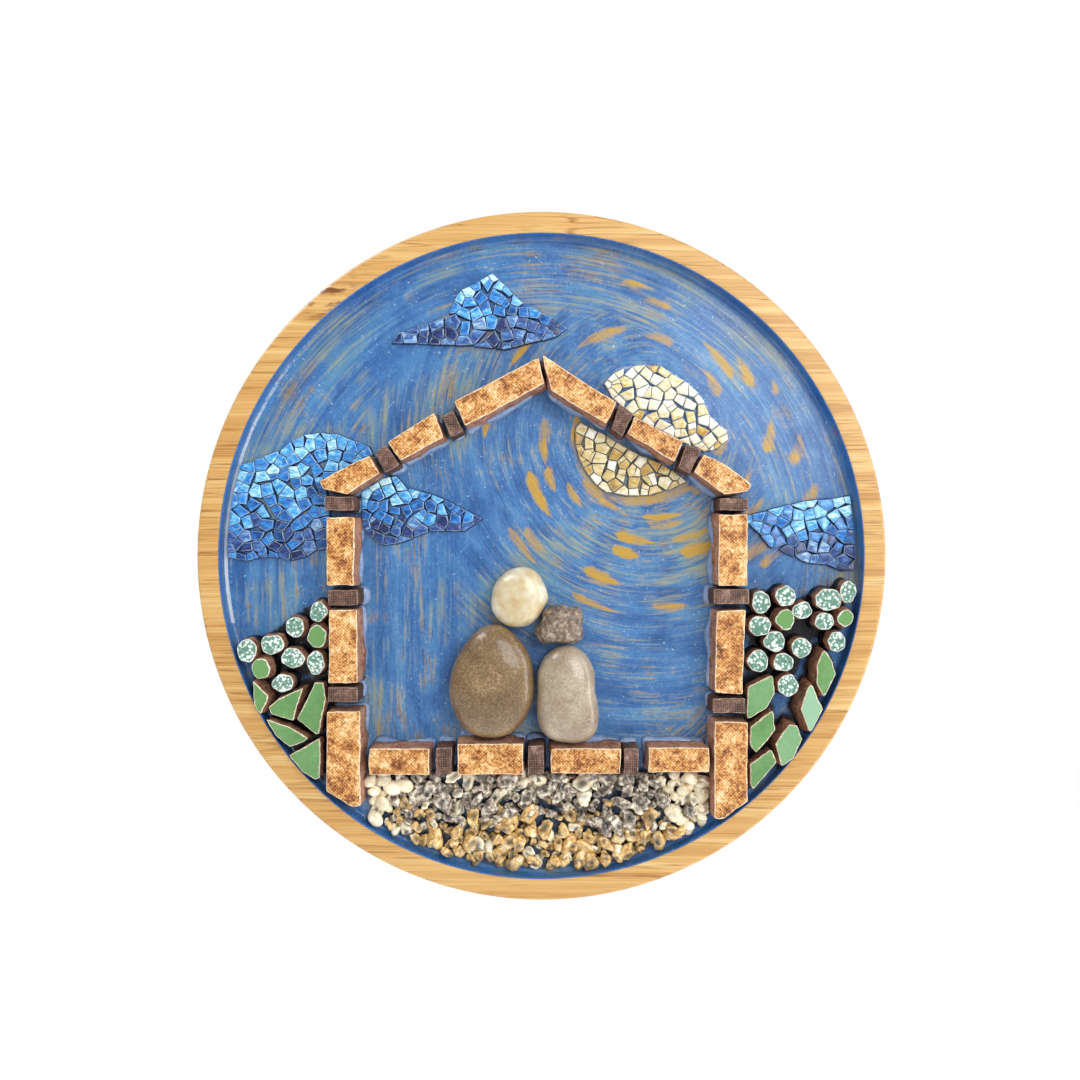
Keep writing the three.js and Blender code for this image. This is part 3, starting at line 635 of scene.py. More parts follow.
def bamboo_body(material):
    """The tray: rounded outer edges, a flat rim, a small inner arris and the recess."""
    outer = TRAY_RADIUS
    inner = RECESS_RADIUS
    floor = FLOOR_HEIGHT - PAINT_THICKNESS
    profile = [(outer - EDGE - 2 * MM, 0.0)]
    profile += arc((outer - EDGE, EDGE), EDGE, -90, 0, 8)
    profile += arc((outer - EDGE * 0.5, RIM_HEIGHT - EDGE * 0.5), EDGE * 0.5, 0, 90, 7)
    profile += [(outer - 3.5 * MM, RIM_HEIGHT), (inner + 1.5 * MM, RIM_HEIGHT)]
    profile += arc((inner + 0.5 * MM, RIM_HEIGHT - 0.5 * MM), 0.5 * MM, 90, 180, 5)
    profile += [(inner, FLOOR_HEIGHT + COVE), (inner, floor), (inner - 4 * MM, floor)]
    body = turned(profile, 360)
    return body.piece("bamboo_body", [material], ["bamboo_tray"], "bamboo")


def strokes(rng):
    """Dabs of ochre on circles round the sun: (radius, start, end, width, strength), in millimetres
    and degrees."""
    made = []
    for first, last, reaches in ((158, 345, (26, 31, 36, 43, 50, 58)), (-25, 140, (26, 32, 39, 47))):
        for reach in reaches:
            angle = rng.uniform(first, first + 15)
            while angle < last:
                length = math.degrees(rng.uniform(9, 22) / reach)
                if rng.random() < 0.8 - 0.004 * reach:
                    made.append((reach + rng.uniform(-3, 3), angle, angle + length,
                                 rng.uniform(1.8, 3.8), rng.uniform(0.6, 1.0)))
                angle += length + math.degrees(rng.uniform(2, 12) / reach)
    return made


def near(points, targets, reach):
    """1 at the targets, falling to 0 at the given reach."""
    tree = kdtree.KDTree(len(targets))
    for index, (x, z) in enumerate(targets):
        tree.insert((x, z, 0.0), index)
    tree.balance()
    distances = np.array([tree.find((x, z, 0.0))[2] for x, z in points])
    return np.clip(1 - distances / reach, 0, 1)


def filled(outline, step):
    """A grid of layout points inside an outline, with its own points."""
    edge = walked(outline, step)
    xs = np.arange(edge[:, 0].min(), edge[:, 0].max(), step)
    zs = np.arange(edge[:, 1].min(), edge[:, 1].max(), step)
    grid = [(x, z) for x in xs for z in zs if inside((x, z), outline)]
    return list(map(tuple, edge)) + grid


def inside(point, outline):
    """Whether a layout point lies in an outline."""
    x, z = point
    hit = False
    for (ax, az), (bx, bz) in zip(outline, outline[1:] + outline[:1]):
        if (az > z) != (bz > z) and x < ax + (bx - ax) * (z - az) / (bz - az):
            hit = not hit
    return hit


def shaded_ground(points):
    """How dark the floor is painted at each layout point: near-black paint with painted shade between and
    round the green tiles, painted shade along the strips' feet, and painted shade under and round the gravel."""
    leaves, strips = [], []
    dark = np.zeros(len(points))
    for node in NODES:
        if node.startswith("leaf_"):
            leaves += filled(flat_tops(node, BED_HEIGHT + 4 * MM)[0][0], 1.0 * MM)
        elif node.startswith("berries_"):
            bed = bed_outline(node)
            within = near(points, filled(bed, 1.0 * MM), 2.0 * MM)
            margin = near(points, walked(bed, 1.0 * MM), 3.2 * MM)
            dark = np.maximum(dark, 1.4 * within * (1 - margin))
        elif node.startswith(("brick_", "spacer_")):
            strips += filled(bed_outline(node), 1.2 * MM)
    bank = filled(bed_outline("gravel_bank"), 1.2 * MM)
    # Near-black paint fading into painted shade round the leaves; painted shade along the strips' feet and
    # under and round the gravel.
    dark = np.maximum(dark, np.maximum(1.25 * near(points, leaves, 4.6 * MM),
                                       0.85 * near(points, strips, 2.0 * MM)))
    return np.minimum(1, np.maximum(dark, 0.75 * near(points, bank, 3.0 * MM)))


def painted_recess(material, centre):
    """The paint film over the recess floor, up its coved foot and its wall to the arris."""
    film = Build()
    segments = 620
    turns = np.linspace(0, 2 * math.pi, segments, endpoint=False)
    unit = np.stack([np.cos(turns), np.sin(turns)], 1)
    wall = RECESS_RADIUS - 0.06 * MM
    reaches = np.linspace(0.8 * MM, wall - PAINT_COVE, 134)
    rings = [film.ring(unit * r, FLOOR_HEIGHT) for r in reaches]
    for r, h in arc((wall - PAINT_COVE, FLOOR_HEIGHT + PAINT_COVE), PAINT_COVE, -75, 0, 6):
        rings.append(film.ring(unit * r, h, wall=0.4))
    cove = rings[-6:-2]
    rings.append(film.ring(unit * wall, RIM_HEIGHT - 0.7 * MM, wall=1.0))
    # The rounded arris: worn paint with a painted highlight all round.
    for r, h in arc((wall + 0.45 * MM, RIM_HEIGHT - 0.42 * MM), 0.45 * MM, 180, 100, 4):
        rings.append(film.ring(unit * r, h, wall=1.0, glue=0.45))
    under = [film.ring(unit * (wall + 0.12 * MM), RIM_HEIGHT - 1.2 * MM, wall=1.0),
             film.ring(unit * (wall + 0.08 * MM), FLOOR_HEIGHT - 0.1 * MM),
             film.ring(unit * 0.8 * MM, FLOOR_HEIGHT - 0.1 * MM)]
    for inner, outer in zip(rings, rings[1:] + under):
        film.band(outer, inner)
    for inner, outer in zip(under, under[1:]):
        film.band(outer, inner)
    film.cap(rings[0])
    film.cap(under[-1], back=True)

    points = np.array([(p[0], p[2]) for p in film.points])
    dabs = np.zeros(len(points))
    arm = (points - np.array(centre)) / MM
    reach = np.hypot(arm[:, 0], arm[:, 1])
    heading = np.degrees(np.arctan2(arm[:, 1], arm[:, 0]))
    for radius, start, end, width, strength in strokes(random.Random(12)):
        part = ((heading - start) % 360) / (end - start)
        body = np.clip(np.minimum(part * 6, (1 - part) * 2.2), 0, 1)
        drift = radius + 1.6 * (part - 0.5)
        across = np.clip(1 - ((reach - drift) / (0.75 * width * np.maximum(body, 0.05))) ** 2, 0, 1)
        dabs = np.maximum(dabs, np.where(part <= 1, across * strength * np.minimum(1, body * 2), 0))
    dabs *= np.hypot(*points.T) < 94 * MM
    below = [(x + 0.5 * MM, z - 2.0 * MM) for x, z in filled(bed_outline("sun_lower"), 1.5 * MM)]
    dabs = np.maximum(dabs, 0.75 * near(points, below, 2.2 * MM))
    glue = 0.6 * near(points, filled(bed_outline("sun_upper"), 1.5 * MM), 2.0 * MM)
    # In the left of the cove, where it faces the light, pale glue with a painted highlight.
    for ring in cove:
        for number, turn in zip(ring, turns):
            left = max(0.0, -math.cos(turn - 0.15)) ** 2
            glue[number] = 0.95 * left if points[number][1] > -22 * MM else 0.0
    arris = np.array([film.values["glue"].get(i, 0.0) for i in range(len(points))])
    values = {"dab": dabs, "dark": shaded_ground(points), "glue": np.maximum(glue, arris)}
    for name, numbers in values.items():
        film.values[name] = dict(enumerate(numbers.tolist()))
    return film.piece("painted_recess", [material], ["bamboo_tray"], "sky_paint")


# ---- Nibbled tiles: strips, spacers, leaves and berries ----

def nibbled_tile(build, outline, top, seed, flare=0.3, chip=0.35, inset=0.25, bulge=0.0, tint=0.5,
                 plain=0.0, foot=2):
    """Adds one tile to a build: a glazed face, a chipped pale arris and a broken clay side that
    spreads by the flare towards the floor, and in places by the bulge. Lengths are in millimetres.
    Finishes: 0 glaze, 1 arris, 2 clay, and the given one at the foot."""
    points = walked(outline, 0.42 * MM)
    out = outward(softened(points, 3))
    wave = 0.22 * rough(points, 0, 5.0, seed + 19) + 0.12 * rough(points, 0, 1.8, seed + 23)
    points = points + out * wave[:, None] * MM
    thickness = top - FLOOR_HEIGHT
    lumps = np.maximum(0, rough(points, 0, 7.0, seed + 11) + 0.05)
    rings = []
    for share, spread_share, wander in ((0.0, 1.0, 0.3), (0.22, 0.85, 0.35), (0.45, 0.6, 0.35),
                                        (0.68, 0.3, 0.3), (1 - 0.9 * MM / thickness, 0.0, 0.18),
                                        (1 - 0.25 * MM / thickness, 0.0, 0.1)):
        height = FLOOR_HEIGHT + thickness * share
        shift = (spread_share * (flare + bulge * lumps) + wander * rough(points, height, 2.0, seed)
                 + 0.5 * chip * np.minimum(0, rough(points, height, 0.8, seed + 7)))
        rings.append(build.ring(points + out * shift[:, None] * MM, height, tint=tint, plain=plain))
    bites = chip * np.maximum(0, rough(points, top, 1.0, seed + 3) + 0.1)
    lip = points - out * (0.06 + 0.8 * bites)[:, None] * MM
    rings.append(build.ring(lip, top - 0.06 * MM, tint=tint, plain=plain))
    face = points - out * (inset + 1.3 * bites)[:, None] * MM
    rings.append(build.ring(face, top, tint=tint, plain=plain))
    for index, (lower, upper) in enumerate(zip(rings, rings[1:])):
        build.band(lower, upper, foot if index < 2 else 2 if index < 5 else 1)
    build.cap(rings[0], foot, back=True)
    build.cap(rings[-1], 0)


def brick_pieces(prefix, materials, slot, flare, chip, inset, bulge):
    """One nibbled piece for each strip or spacer, named after its node."""
    for number, node in enumerate(sorted(n for n in NODES if n.startswith(prefix))):
        outline, top = flat_tops(node, BED_HEIGHT + 4 * MM)[0]
        grown = walked(outline, 0.42 * MM)
        grown = grown + outward(grown) * 0.25 * MM
        build = Build()
        nibbled_tile(build, [tuple(p) for p in grown], top, number * 13.7, flare, chip, inset, bulge)
        build.piece(node.replace(prefix, prefix + "tile_"), materials, [node], slot)


def leaf_pieces(materials):
    """The pointed tiles of the bushes. The wide ones show a sloping broken side."""
    sloping = {"leaf_right_1": 0.8, "leaf_right_3": 1.2, "leaf_right_5": 0.7, "leaf_left_1": 0.7,
               "leaf_left_2": 0.5}
    pale = {"leaf_right_3": 1.0, "leaf_right_5": 0.75, "leaf_right_2": 0.66}
    for number, node in enumerate(sorted(n for n in NODES if n.startswith("leaf_"))):
        outline, top = flat_tops(node, BED_HEIGHT + 4 * MM)[0]
        grown = walked(outline, 0.42 * MM)
        grown = grown + outward(grown) * (0.55 if "right" in node else 0.25) * MM
        build = Build()
        # Leaves that do not slope get dark adhesive on the lower part of their sides: partly real adhesive,
        # partly standing in for the shade on those sides.
        nibbled_tile(build, [tuple(p) for p in grown], top, number * 17.3, sloping.get(node, 0.15), 0.3,
                     0.22, 0.3, pale.get(node, 0.4), foot=2 if node in sloping else 3)
        build.piece(node.replace("leaf_", "leaf_tile_"), materials, [node], "leaf_tile")


SHELL_SIZE = 3.9 * MM
PLAIN_BERRIES = ((-70.9, -25.5), (-88.7, -35.6), (77.0, -20.0), (96.0, -19.6))


def berry_pieces(node, materials):
    """The nibbled rounds of one bush, each standing in adhesive of its own."""
    chooser = random.Random(node)
    for number, (outline, top) in enumerate(flat_tops(node, BED_HEIGHT + 4 * MM)):
        build = Build()
        points = softened(walked(outline, 0.5 * MM), 2)
        centre = points.mean(0)
        plain = any(math.dist(centre / MM, place) < 2 for place in PLAIN_BERRIES)
        flare = chooser.uniform(0.1, 0.7) + (0.9 if plain else 0.0)
        points = points + outward(points) * (0.15 + 0.25 * rough(points, 0, 3.0, number))[:, None] * MM
        # Every berry gets dark adhesive on the lower part of its sides: partly real adhesive, partly standing
        # in for the shade on those sides.
        nibbled_tile(build, [tuple(p) for p in points], top - 0.5 * MM * chooser.random(), number * 9.1,
                     flare, 0.35, 0.2, 0.4, plain=float(plain), foot=3)
        edge = softened(walked(outline, 0.8 * MM), 4)
        spill = 0.9 + 0.8 * rough(edge, 0, 3.0, number + 40)
        low = build.ring(edge + outward(edge) * spill[:, None] * MM, FLOOR_HEIGHT)
        crown = build.ring(edge + outward(edge) * (0.4 * spill)[:, None] * MM,
                           BED_HEIGHT + ADHESIVE_THICKNESS * (0.8 + 0.5 * spill))
        build.band(low, crown, 3)
        build.cap(low, 3, back=True)
        build.cap(crown, 3)
        build.piece(f"{node}_{number + 1}", materials, [node], "berry_tile")


def angular(points, keep):
    """A cell with its bluntest corners cut off, until only some are left, as shell breaks."""
    points = list(points)
    while len(points) > keep:
        losses = []
        for i, point in enumerate(points):
            before, after = points[i - 1], points[(i + 1) % len(points)]
            losses.append(abs((before[0] - point[0]) * (after[1] - point[1])
                              - (before[1] - point[1]) * (after[0] - point[0])))
        points.pop(losses.index(min(losses)))
    return points


def clipped(points, normal, limit):
    """The part of an outline on one side of a line."""
    kept = []
    for a, b in zip(points, np.roll(points, -1, 0)):
        over_a, over_b = a @ normal - limit, b @ normal - limit
        if over_a <= 0:
            kept.append(a)
        if over_a * over_b < 0:
            kept.append(a + (b - a) * over_a / (over_a - over_b))
    return np.array(kept)


def broken_shell(outline, size, rng):
    """Angular pieces that fill an outline, about the given size across."""
    border = np.array(outline)
    low, high = border.min(0), border.max(0)
    sites = []
    for _ in range(4000):
        site = np.array([rng.uniform(low[0], high[0]), rng.uniform(low[1], high[1])])
        if inside(site, outline) and all(np.hypot(*(site - s)) > 0.78 * size for s in sites):
            sites.append(site)
    pieces = []
    for site in sites:
        cell = border
        for other in sites:
            gap = other - site
            length = np.hypot(*gap)
            if 0 < length < 3 * size and len(cell):
                cell = clipped(cell, gap / length, (site + other) / 2 @ gap / length)
        if len(cell) < 3:
            continue
        centre = cell.mean(0)
        cell = angular(centre + (cell - centre) * 0.97, rng.choice((4, 4, 4, 5, 5)))
        cell = np.array(cell)
        rolled = np.roll(cell, -1, 0)
        area = 0.5 * np.sum(cell[:, 0] * rolled[:, 1] - rolled[:, 0] * cell[:, 1])
        if area > 0.22 * size * size:
            pieces += snapped(cell, rng)
    return pieces


def snapped(points, rng):
    """A piece of shell, or the two halves it broke into."""
    points = [tuple(p) for p in points]
    if len(points) < 4 or rng.random() > 0.15:
        return [points]
    spots = np.array(points)
    lengths = np.linalg.norm(np.roll(spots, -1, 0) - spots, axis=1)
    first = int(lengths.argmax())
    second = (first + len(points) // 2) % len(points)
    cuts = []
    for side in (first, second):
        share = rng.uniform(0.38, 0.62)
        cuts.append(spots[side] * (1 - share) + spots[(side + 1) % len(points)] * share)
    halves = []
    for (start, begin), (end, finish) in (((first, cuts[0]), (second, cuts[1])),
                                          ((second, cuts[1]), (first, cuts[0]))):
        half = [tuple(begin)]
        i = (start + 1) % len(points)
        while True:
            half.append(points[i])
            if i == end:
                break
            i = (i + 1) % len(points)
        half.append(tuple(finish))
        halves.append(half)
    return halves


# ---- Eggshell pieces ----

def shell_field(node, materials, slot, palette, rng):
    """All shell pieces of one cloud or sun part, each on a thin bed of joint paint. The palette
    takes a piece's place in its field, from -1 to 1 both ways, to its shade and finish."""
    build = Build()
    joint = len(materials) - 1
    low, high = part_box(node)
    top = -low.y
    middle = np.array([(low.x + high.x) / 2, (low.z + high.z) / 2])
    span = np.array([high.x - low.x, high.z - low.z]) / 2
    for number, corners in enumerate(broken_shell(bed_outline(node), SHELL_SIZE, rng)):
        corners = np.array(corners)
        centre = corners.mean(0)
        turn = rng.uniform(-0.07, 0.07)
        spin = np.array([[math.cos(turn), -math.sin(turn)], [math.sin(turn), math.cos(turn)]])
        corners = centre + (corners - centre) @ spin.T * (0.93 if "sun" in node else 0.96)
        points = walked([tuple(p) for p in corners], 0.6 * MM)
        away = outward(softened(points, 1))
        shade, finish = palette(*((centre - middle) / span), rng)
        tint = min(1.0, max(0.0, shade + rng.uniform(-0.3, 0.3)))
        tilt = np.array([rng.uniform(-0.11, 0.11), rng.uniform(-0.11, 0.11)])
        lift = rng.uniform(-0.45, -0.1) * MM
        bow = rng.uniform(0.0, 0.12) * MM
        rings = [build.ring(points, BED_HEIGHT + 0.1 * MM, tint=tint, edge=0.6)]
        for inset, drop_by, edge in ((0.0, 0.5, 0.8), (0.02, 0.12, 1.0), (0.14, 0.0, 0.9), (1.0, 0.0, 0.0)):
            jag = 0.1 * rough(points, top, 0.9, number * 5.3)
            if inset < 1:
                ring = points - away * (inset + jag)[:, None] * MM
            else:
                ring = centre + (points - centre) * 0.6
            height = top + lift + (ring - centre) @ tilt - drop_by * MM + bow * (inset == 1)
            rings.append(build.ring(ring, height, tint=tint, edge=edge))
        for lower, upper in zip(rings, rings[1:]):
            build.band(lower, upper, finish)
        build.cap(rings[0], finish, back=True)
        build.cap(rings[-1], finish)
        wide = points + away * rng.uniform(0.25, 0.45) * MM
        foot = build.ring(wide, FLOOR_HEIGHT)
        crest = build.ring(points + away * 0.1 * MM, BED_HEIGHT + SHELL_BED_THICKNESS)
        build.band(foot, crest, joint)
        build.cap(foot, joint, back=True)
        build.cap(crest, joint)
    return build.piece(node + "_shells", materials, [node], slot)


# ---- Pebbles ----

def pebble(node, material, slot, bumps, squareness):
    """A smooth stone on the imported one's outline and height."""
    low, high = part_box(node)
    points = np.array([(v.co.x, v.co.z) for v in NODES[node].data.vertices])
    heights = np.array([-v.co.y for v in NODES[node].data.vertices])
    pole = points[heights.argmax()]
    arm = points - pole
    angles = np.arctan2(arm[:, 1], arm[:, 0])
    sectors = 16
    width = 2 * math.pi / sectors
    reaches = []
    for i in range(sectors):
        apart = np.abs((angles - i * width + math.pi) % (2 * math.pi) - math.pi)
        reaches.append(np.hypot(*arm[apart < 0.02].T).max())
    waves = np.fft.rfft(reaches) / sectors
    stone = Build()
    around = np.linspace(0, 2 * math.pi, 128, endpoint=False)
    reach = np.full(len(around), waves[0].real)
    for k in range(1, 8):
        reach = reach + 2 * (waves[k] * np.exp(1j * k * around)).real
    unit = np.stack([np.cos(around), np.sin(around)], 1)
    total = -low.y - BED_HEIGHT
    half = total * 0.56
    rings = []
    for lat in np.linspace(-88, 88, 64):
        flat, up = math.cos(math.radians(lat)), math.sin(math.radians(lat))
        ring = pole + unit * (flat ** squareness * reach)[:, None]
        swell = bumps * (rough(ring, up * half, 3.0, len(node)) + 0.4 * rough(ring, up * half, 1.1, 3.0))
        height = max(BED_HEIGHT + total - half + half * up, FLOOR_HEIGHT + 0.01 * MM * (lat + 90))
        rings.append(stone.ring(ring + unit * (swell * flat * MM)[:, None], height))
    for lower, upper in zip(rings, rings[1:]):
        stone.band(lower, upper)
    stone.cap(rings[0], back=True)
    stone.cap(rings[-1])
    made = stone.piece(node + "_stone", [material], [node], slot)
    for polygon in made.data.polygons:
        polygon.use_smooth = True
    return made


# ---- Gravel ----

def stone_mesh(kind, size, rng):
    """Points, crest values and triangles of one small stone about its centre, flat-lying."""
    mesh = bmesh.new()
    bmesh.ops.create_icosphere(mesh, subdivisions=3 if size > 1.5 * MM else 2, radius=1.0)
    long, thick = {"chip": (1.5, 0.7), "bead": (1.35, 0.75), "crust": (1.55, 0.75)}[kind]
    cuts = {"chip": 4, "bead": 0, "crust": 3}[kind]
    bites = {"chip": 1, "bead": 0, "crust": 2}[kind]
    swell = {"chip": 0.3, "bead": 0.06, "crust": 0.4}[kind]
    seed = rng.uniform(0, 100)

    def some_way():
        return Vector([rng.gauss(0, 1) for _ in range(3)]).normalized()

    planes = [(some_way(), rng.uniform(0.45, 0.8)) for _ in range(cuts)]
    hollows = [(some_way() * 1.15 - Vector((0, 0.35, 0)), rng.uniform(0.45, 0.75)) for _ in range(bites)]
    if bites and rng.random() < (0.6 if kind == "chip" else 0.85):
        hollows.append((Vector((rng.uniform(-0.45, 0.45), -1.1, rng.uniform(-0.4, 0.4))),
                        rng.uniform(0.7, 0.92)))
    places, crests = [], []
    for vert in mesh.verts:
        place = vert.co.copy()
        place *= 1 + swell * noise.noise(place * 1.5 + Vector((seed, 0, 0)))
        place *= 1 + 0.35 * swell * noise.noise(place * 4 + Vector((0, seed, 0)))
        for direction, distance in planes:
            beyond = place.dot(direction) - distance
            if beyond > 0:
                place -= direction * beyond
        for heart, depth in hollows:
            inside_by = depth - (place - heart).length
            if inside_by > 0:
                place *= max(0.35, 1 - inside_by * 1.1)
        places.append(place)
        # Crest runs from 0 deep in a hollow to 1 on a ridge; the gravel's colour uses it for painted shade
        # and highlight.
        crests.append(min(1.0, max(0.0, (place.length - 0.52) / 0.4)))
    length = rng.uniform(0.85, 1.1) * long
    turn = rng.uniform(0, math.pi)
    lean = rng.uniform(-0.5, 0.5)
    points = []
    for place in places:
        x, y, z = place.x * length, place.y * thick, place.z
        x, y = x * math.cos(lean) - y * math.sin(lean), y * math.cos(lean) + x * math.sin(lean) * 0.5
        x, z = x * math.cos(turn) - z * math.sin(turn), x * math.sin(turn) + z * math.cos(turn)
        points.append((x * size, y * size, z * size))
    faces = [tuple(v.index for v in f.verts) for f in mesh.faces]
    mesh.free()
    return points, crests, faces


def gravel_sites(rng):
    """Where the stones lie: layout point, size and layer, packed closely in the gravel's outline."""
    outline = bed_outline("gravel_bank")
    low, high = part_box("gravel_bank")
    sites = []
    for layer, tries, closeness in ((0, 9000, 0.84), (1, 3000, 1.05)):
        for _ in range(tries):
            x, z = rng.uniform(low.x, high.x), rng.uniform(low.z, high.z)
            size = rng.choice((1.3, 1.6, 1.9, 2.2, 2.5)) * MM
            reach = math.hypot(x, z) + 0.9 * size
            if not inside((x, z), outline) or reach > RECESS_RADIUS - 0.9 * MM:
                continue
            same = [s for s in sites if s[3] == layer]
            if all(math.hypot(x - s[0], z - s[1]) > closeness * (size + s[2]) for s in same):
                sites.append((x, z, size, layer))
    return sites


def gravel(materials):
    """Every stone of the bank: crusty grey ones above, golden ones below, cream beads at the ends."""
    rng = random.Random(77)
    low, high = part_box("gravel_bank")
    builds = {name: Build() for name in materials}
    for x, z, size, layer in gravel_sites(rng):
        down = (high.z - z) / (high.z - low.z)
        ends = min(x - low.x, high.x - x) / MM
        roll = rng.random()
        if ends < 8 and roll < 0.75 or ends < 15 and roll < 0.3:
            name, kind = "cream", "bead"
        elif down + rng.uniform(-0.18, 0.18) > 0.47:
            name, kind = ("golden", "chip") if roll < 0.82 else ("cream", "chip")
        else:
            name, kind = ("grey", "crust") if roll < 0.85 else ("cream", "crust")
        points, crests, faces = stone_mesh(kind, size, rng)
        build = builds[name]
        start = len(build.points)
        lowest = max(y for _, y, _ in points)
        tallest = lowest - min(y for _, y, _ in points)
        base = FLOOR_HEIGHT + 0.05 * MM + layer * rng.uniform(0.9, 1.5) * MM
        squash = min(1.0, (3.9 * MM - (base - FLOOR_HEIGHT)) / tallest)
        tint = rng.random()
        build.points += [(x + px, -base + (py - lowest) * squash, z + pz) for px, py, pz in points]
        build.faces += [tuple(start + i for i in face) for face in faces]
        build.finish += [0] * len(faces)
        build.values.setdefault("tint", {}).update((start + i, tint) for i in range(len(points)))
        build.values.setdefault("crest", {}).update((start + i, c) for i, c in enumerate(crests))
    for name, build in builds.items():
        build.piece("gravel_" + name, [materials[name]], ["gravel_bank"], "gravel")


def drop(build, x, z, size, height, finish=0):
    """A flat drop of set glue."""
    turns = np.linspace(0, 2 * math.pi, 10, endpoint=False)
    unit = np.stack([np.cos(turns), np.sin(turns)], 1)
    wobble = 1 + 0.3 * rough(unit * 3 * MM, 0, 2.0, x / MM)
    rings = [build.ring(np.array([x, z]) + unit * (size * share * wobble)[:, None],
                        FLOOR_HEIGHT + height * up)
             for share, up in ((1.0, 0.02), (0.85, 0.5), (0.5, 0.88), (0.15, 1.0))]
    for lower, upper in zip(rings, rings[1:]):
        build.band(lower, upper, finish)
    build.cap(rings[0], finish, back=True)
    build.cap(rings[-1], finish)


# ---- Glue ----

def glue_beads(material):
    """Clear glue squeezed out along the foot of the tile strips, most on the side of the house's
    middle, and stray drops on the paint."""
    build = Build()
    for number, node in enumerate(sorted(n for n in NODES if n.startswith(("brick_", "spacer_")))):
        foot = softened(walked(bed_outline(node), 0.7 * MM), 2)
        out = outward(foot)
        home = -foot / np.maximum(np.linalg.norm(foot, axis=1, keepdims=True), 1e-6)
        inwards = np.clip(np.sum(out * home, 1), 0, 1)
        spill = np.maximum(0.1, (0.5 + 1.6 * inwards) * (0.8 + 0.9 * rough(foot, 0, 7.0, number * 3.1)))
        inner = foot - out * 0.4 * MM
        outer = foot + out * (0.35 + spill)[:, None] * MM
        crest = foot + out * (0.15 + 0.45 * spill)[:, None] * MM
        low_in = build.ring(inner, FLOOR_HEIGHT + 0.02 * MM)
        low_out = build.ring(outer, FLOOR_HEIGHT + 0.02 * MM)
        mid = build.ring(crest, FLOOR_HEIGHT + 0.15 * MM + 0.35 * MM * np.minimum(1, spill))
        high_in = build.ring(inner, FLOOR_HEIGHT + 1.0 * MM)
        for lower, upper in ((low_in, low_out), (low_out, mid), (mid, high_in), (high_in, low_in)):
            build.band(lower, upper)
    rng = random.Random(3)
    for _ in range(150):
        angle, reach = rng.uniform(0, 2 * math.pi), 98 * MM * math.sqrt(rng.random())
        size = rng.uniform(0.15, 0.5) * MM
        drop(build, reach * math.cos(angle), reach * math.sin(angle), size, 0.5 * size)
    build.piece("clear_glue", [material], [], "clear_glue")


# ---- Stage ----

def studio():
    """A pale floor well below the hanging panel, soft lights and the camera."""
    mesh = bpy.data.meshes.new("studio_floor")
    mesh.from_pydata([(-3, -3, -0.9), (3, -3, -0.9), (3, 3, -0.9), (-3, 3, -0.9)], [], [(0, 1, 2, 3)])
    floor = bpy.data.objects.new("studio_floor", mesh)
    bpy.context.scene.collection.objects.link(floor)
    mesh.materials.append(start_material("white_paper", {
        "Base Color": "#f4f4f4", "Roughness": 0.9, "Emission Color": "#ffffff",
        "Emission Strength": 0.62})[0])

    world = bpy.data.worlds.new("white_studio")
    world.use_nodes = True
    tree = world.node_tree
    tree.nodes.clear()
    seen = add(tree, "ShaderNodeLightPath").outputs["Is Camera Ray"]
    strength = add(tree, "ShaderNodeMapRange", {"To Min": 0.4, "To Max": 1.0}, {"Value": seen})
    sky = add(tree, "ShaderNodeBackground", {"Color": (1.0, 1.0, 1.0, 1.0)},
              {"Strength": strength.outputs[0]})
    add(tree, "ShaderNodeOutputWorld", links={"Surface": sky.outputs[0]})
    bpy.context.scene.world = world

    lights = [("key_light", (0.66, -1.15, 0.53), 0.9, 0.9, 11.0),
              ("left_window", (-0.42, -0.12, 0.5), 0.5, 0.2, 2.4),
              ("right_window", (0.75, -0.2, 0.05), 0.25, 0.9, 2.8),
              ("back_fill", (0.2, 0.9, 0.5), 0.8, 0.8, 5.0)]
    for name, place, width, height, power in lights:
        light = bpy.data.lights.new(name, "AREA")
        light.shape, light.size, light.size_y, light.energy = "RECTANGLE", width, height, power
        lamp = bpy.data.objects.new(name, light)
        lamp.location = place
        lamp.rotation_euler = (-Vector(place)).to_track_quat("-Z", "Y").to_euler()
        bpy.context.scene.collection.objects.link(lamp)

    camera = bpy.data.cameras.new("camera")
    camera.sensor_width, camera.lens, camera.clip_start = 36.0, 27.2, 0.005
    view = bpy.data.objects.new("camera", camera)
    view.location = (-0.45 * MM, -(RIM_HEIGHT + 260 * MM), 5.05 * MM)
    view.rotation_euler = (math.radians(90), 0, 0)
    bpy.context.scene.collection.objects.link(view)
    bpy.context.scene.camera = view
    bpy.context.scene.view_settings.view_transform = "Standard"


def azure_cloud(across, up, rng):
    """Shade and finish of a cloud's shell: pale above, azure in the middle, smoky blue below."""
    if up < -0.3 and rng.random() < 0.5:
        return 0.5 + 0.2 * rng.random(), 1
    return 0.58 - 0.3 * up + 0.1 * across, 0


def navy_cloud(across, up, rng):
    """Shade and finish of a cloud's shell: pale above, azure in the middle, violet navy below."""
    if up < -0.3 + rng.uniform(-0.2, 0.2):
        return 0.55 - 0.25 * up, 1
    return 0.62 - 0.4 * up, 0


def cream_sun(across, up, rng):
    """Shade and finish of the sun's upper shell: white, with a few yellow pieces on the right."""
    return (0.85 if rng.random() < 0.12 + 0.15 * across else 0.28 + 0.1 * rng.random()), 0


def straw_sun(across, up, rng):
    """Shade and finish of the sun's lower shell: ochre to the left, white and grey among it."""
    return (0.1 if rng.random() < 0.2 else 0.5 - 0.2 * across - 0.12 * up), 0


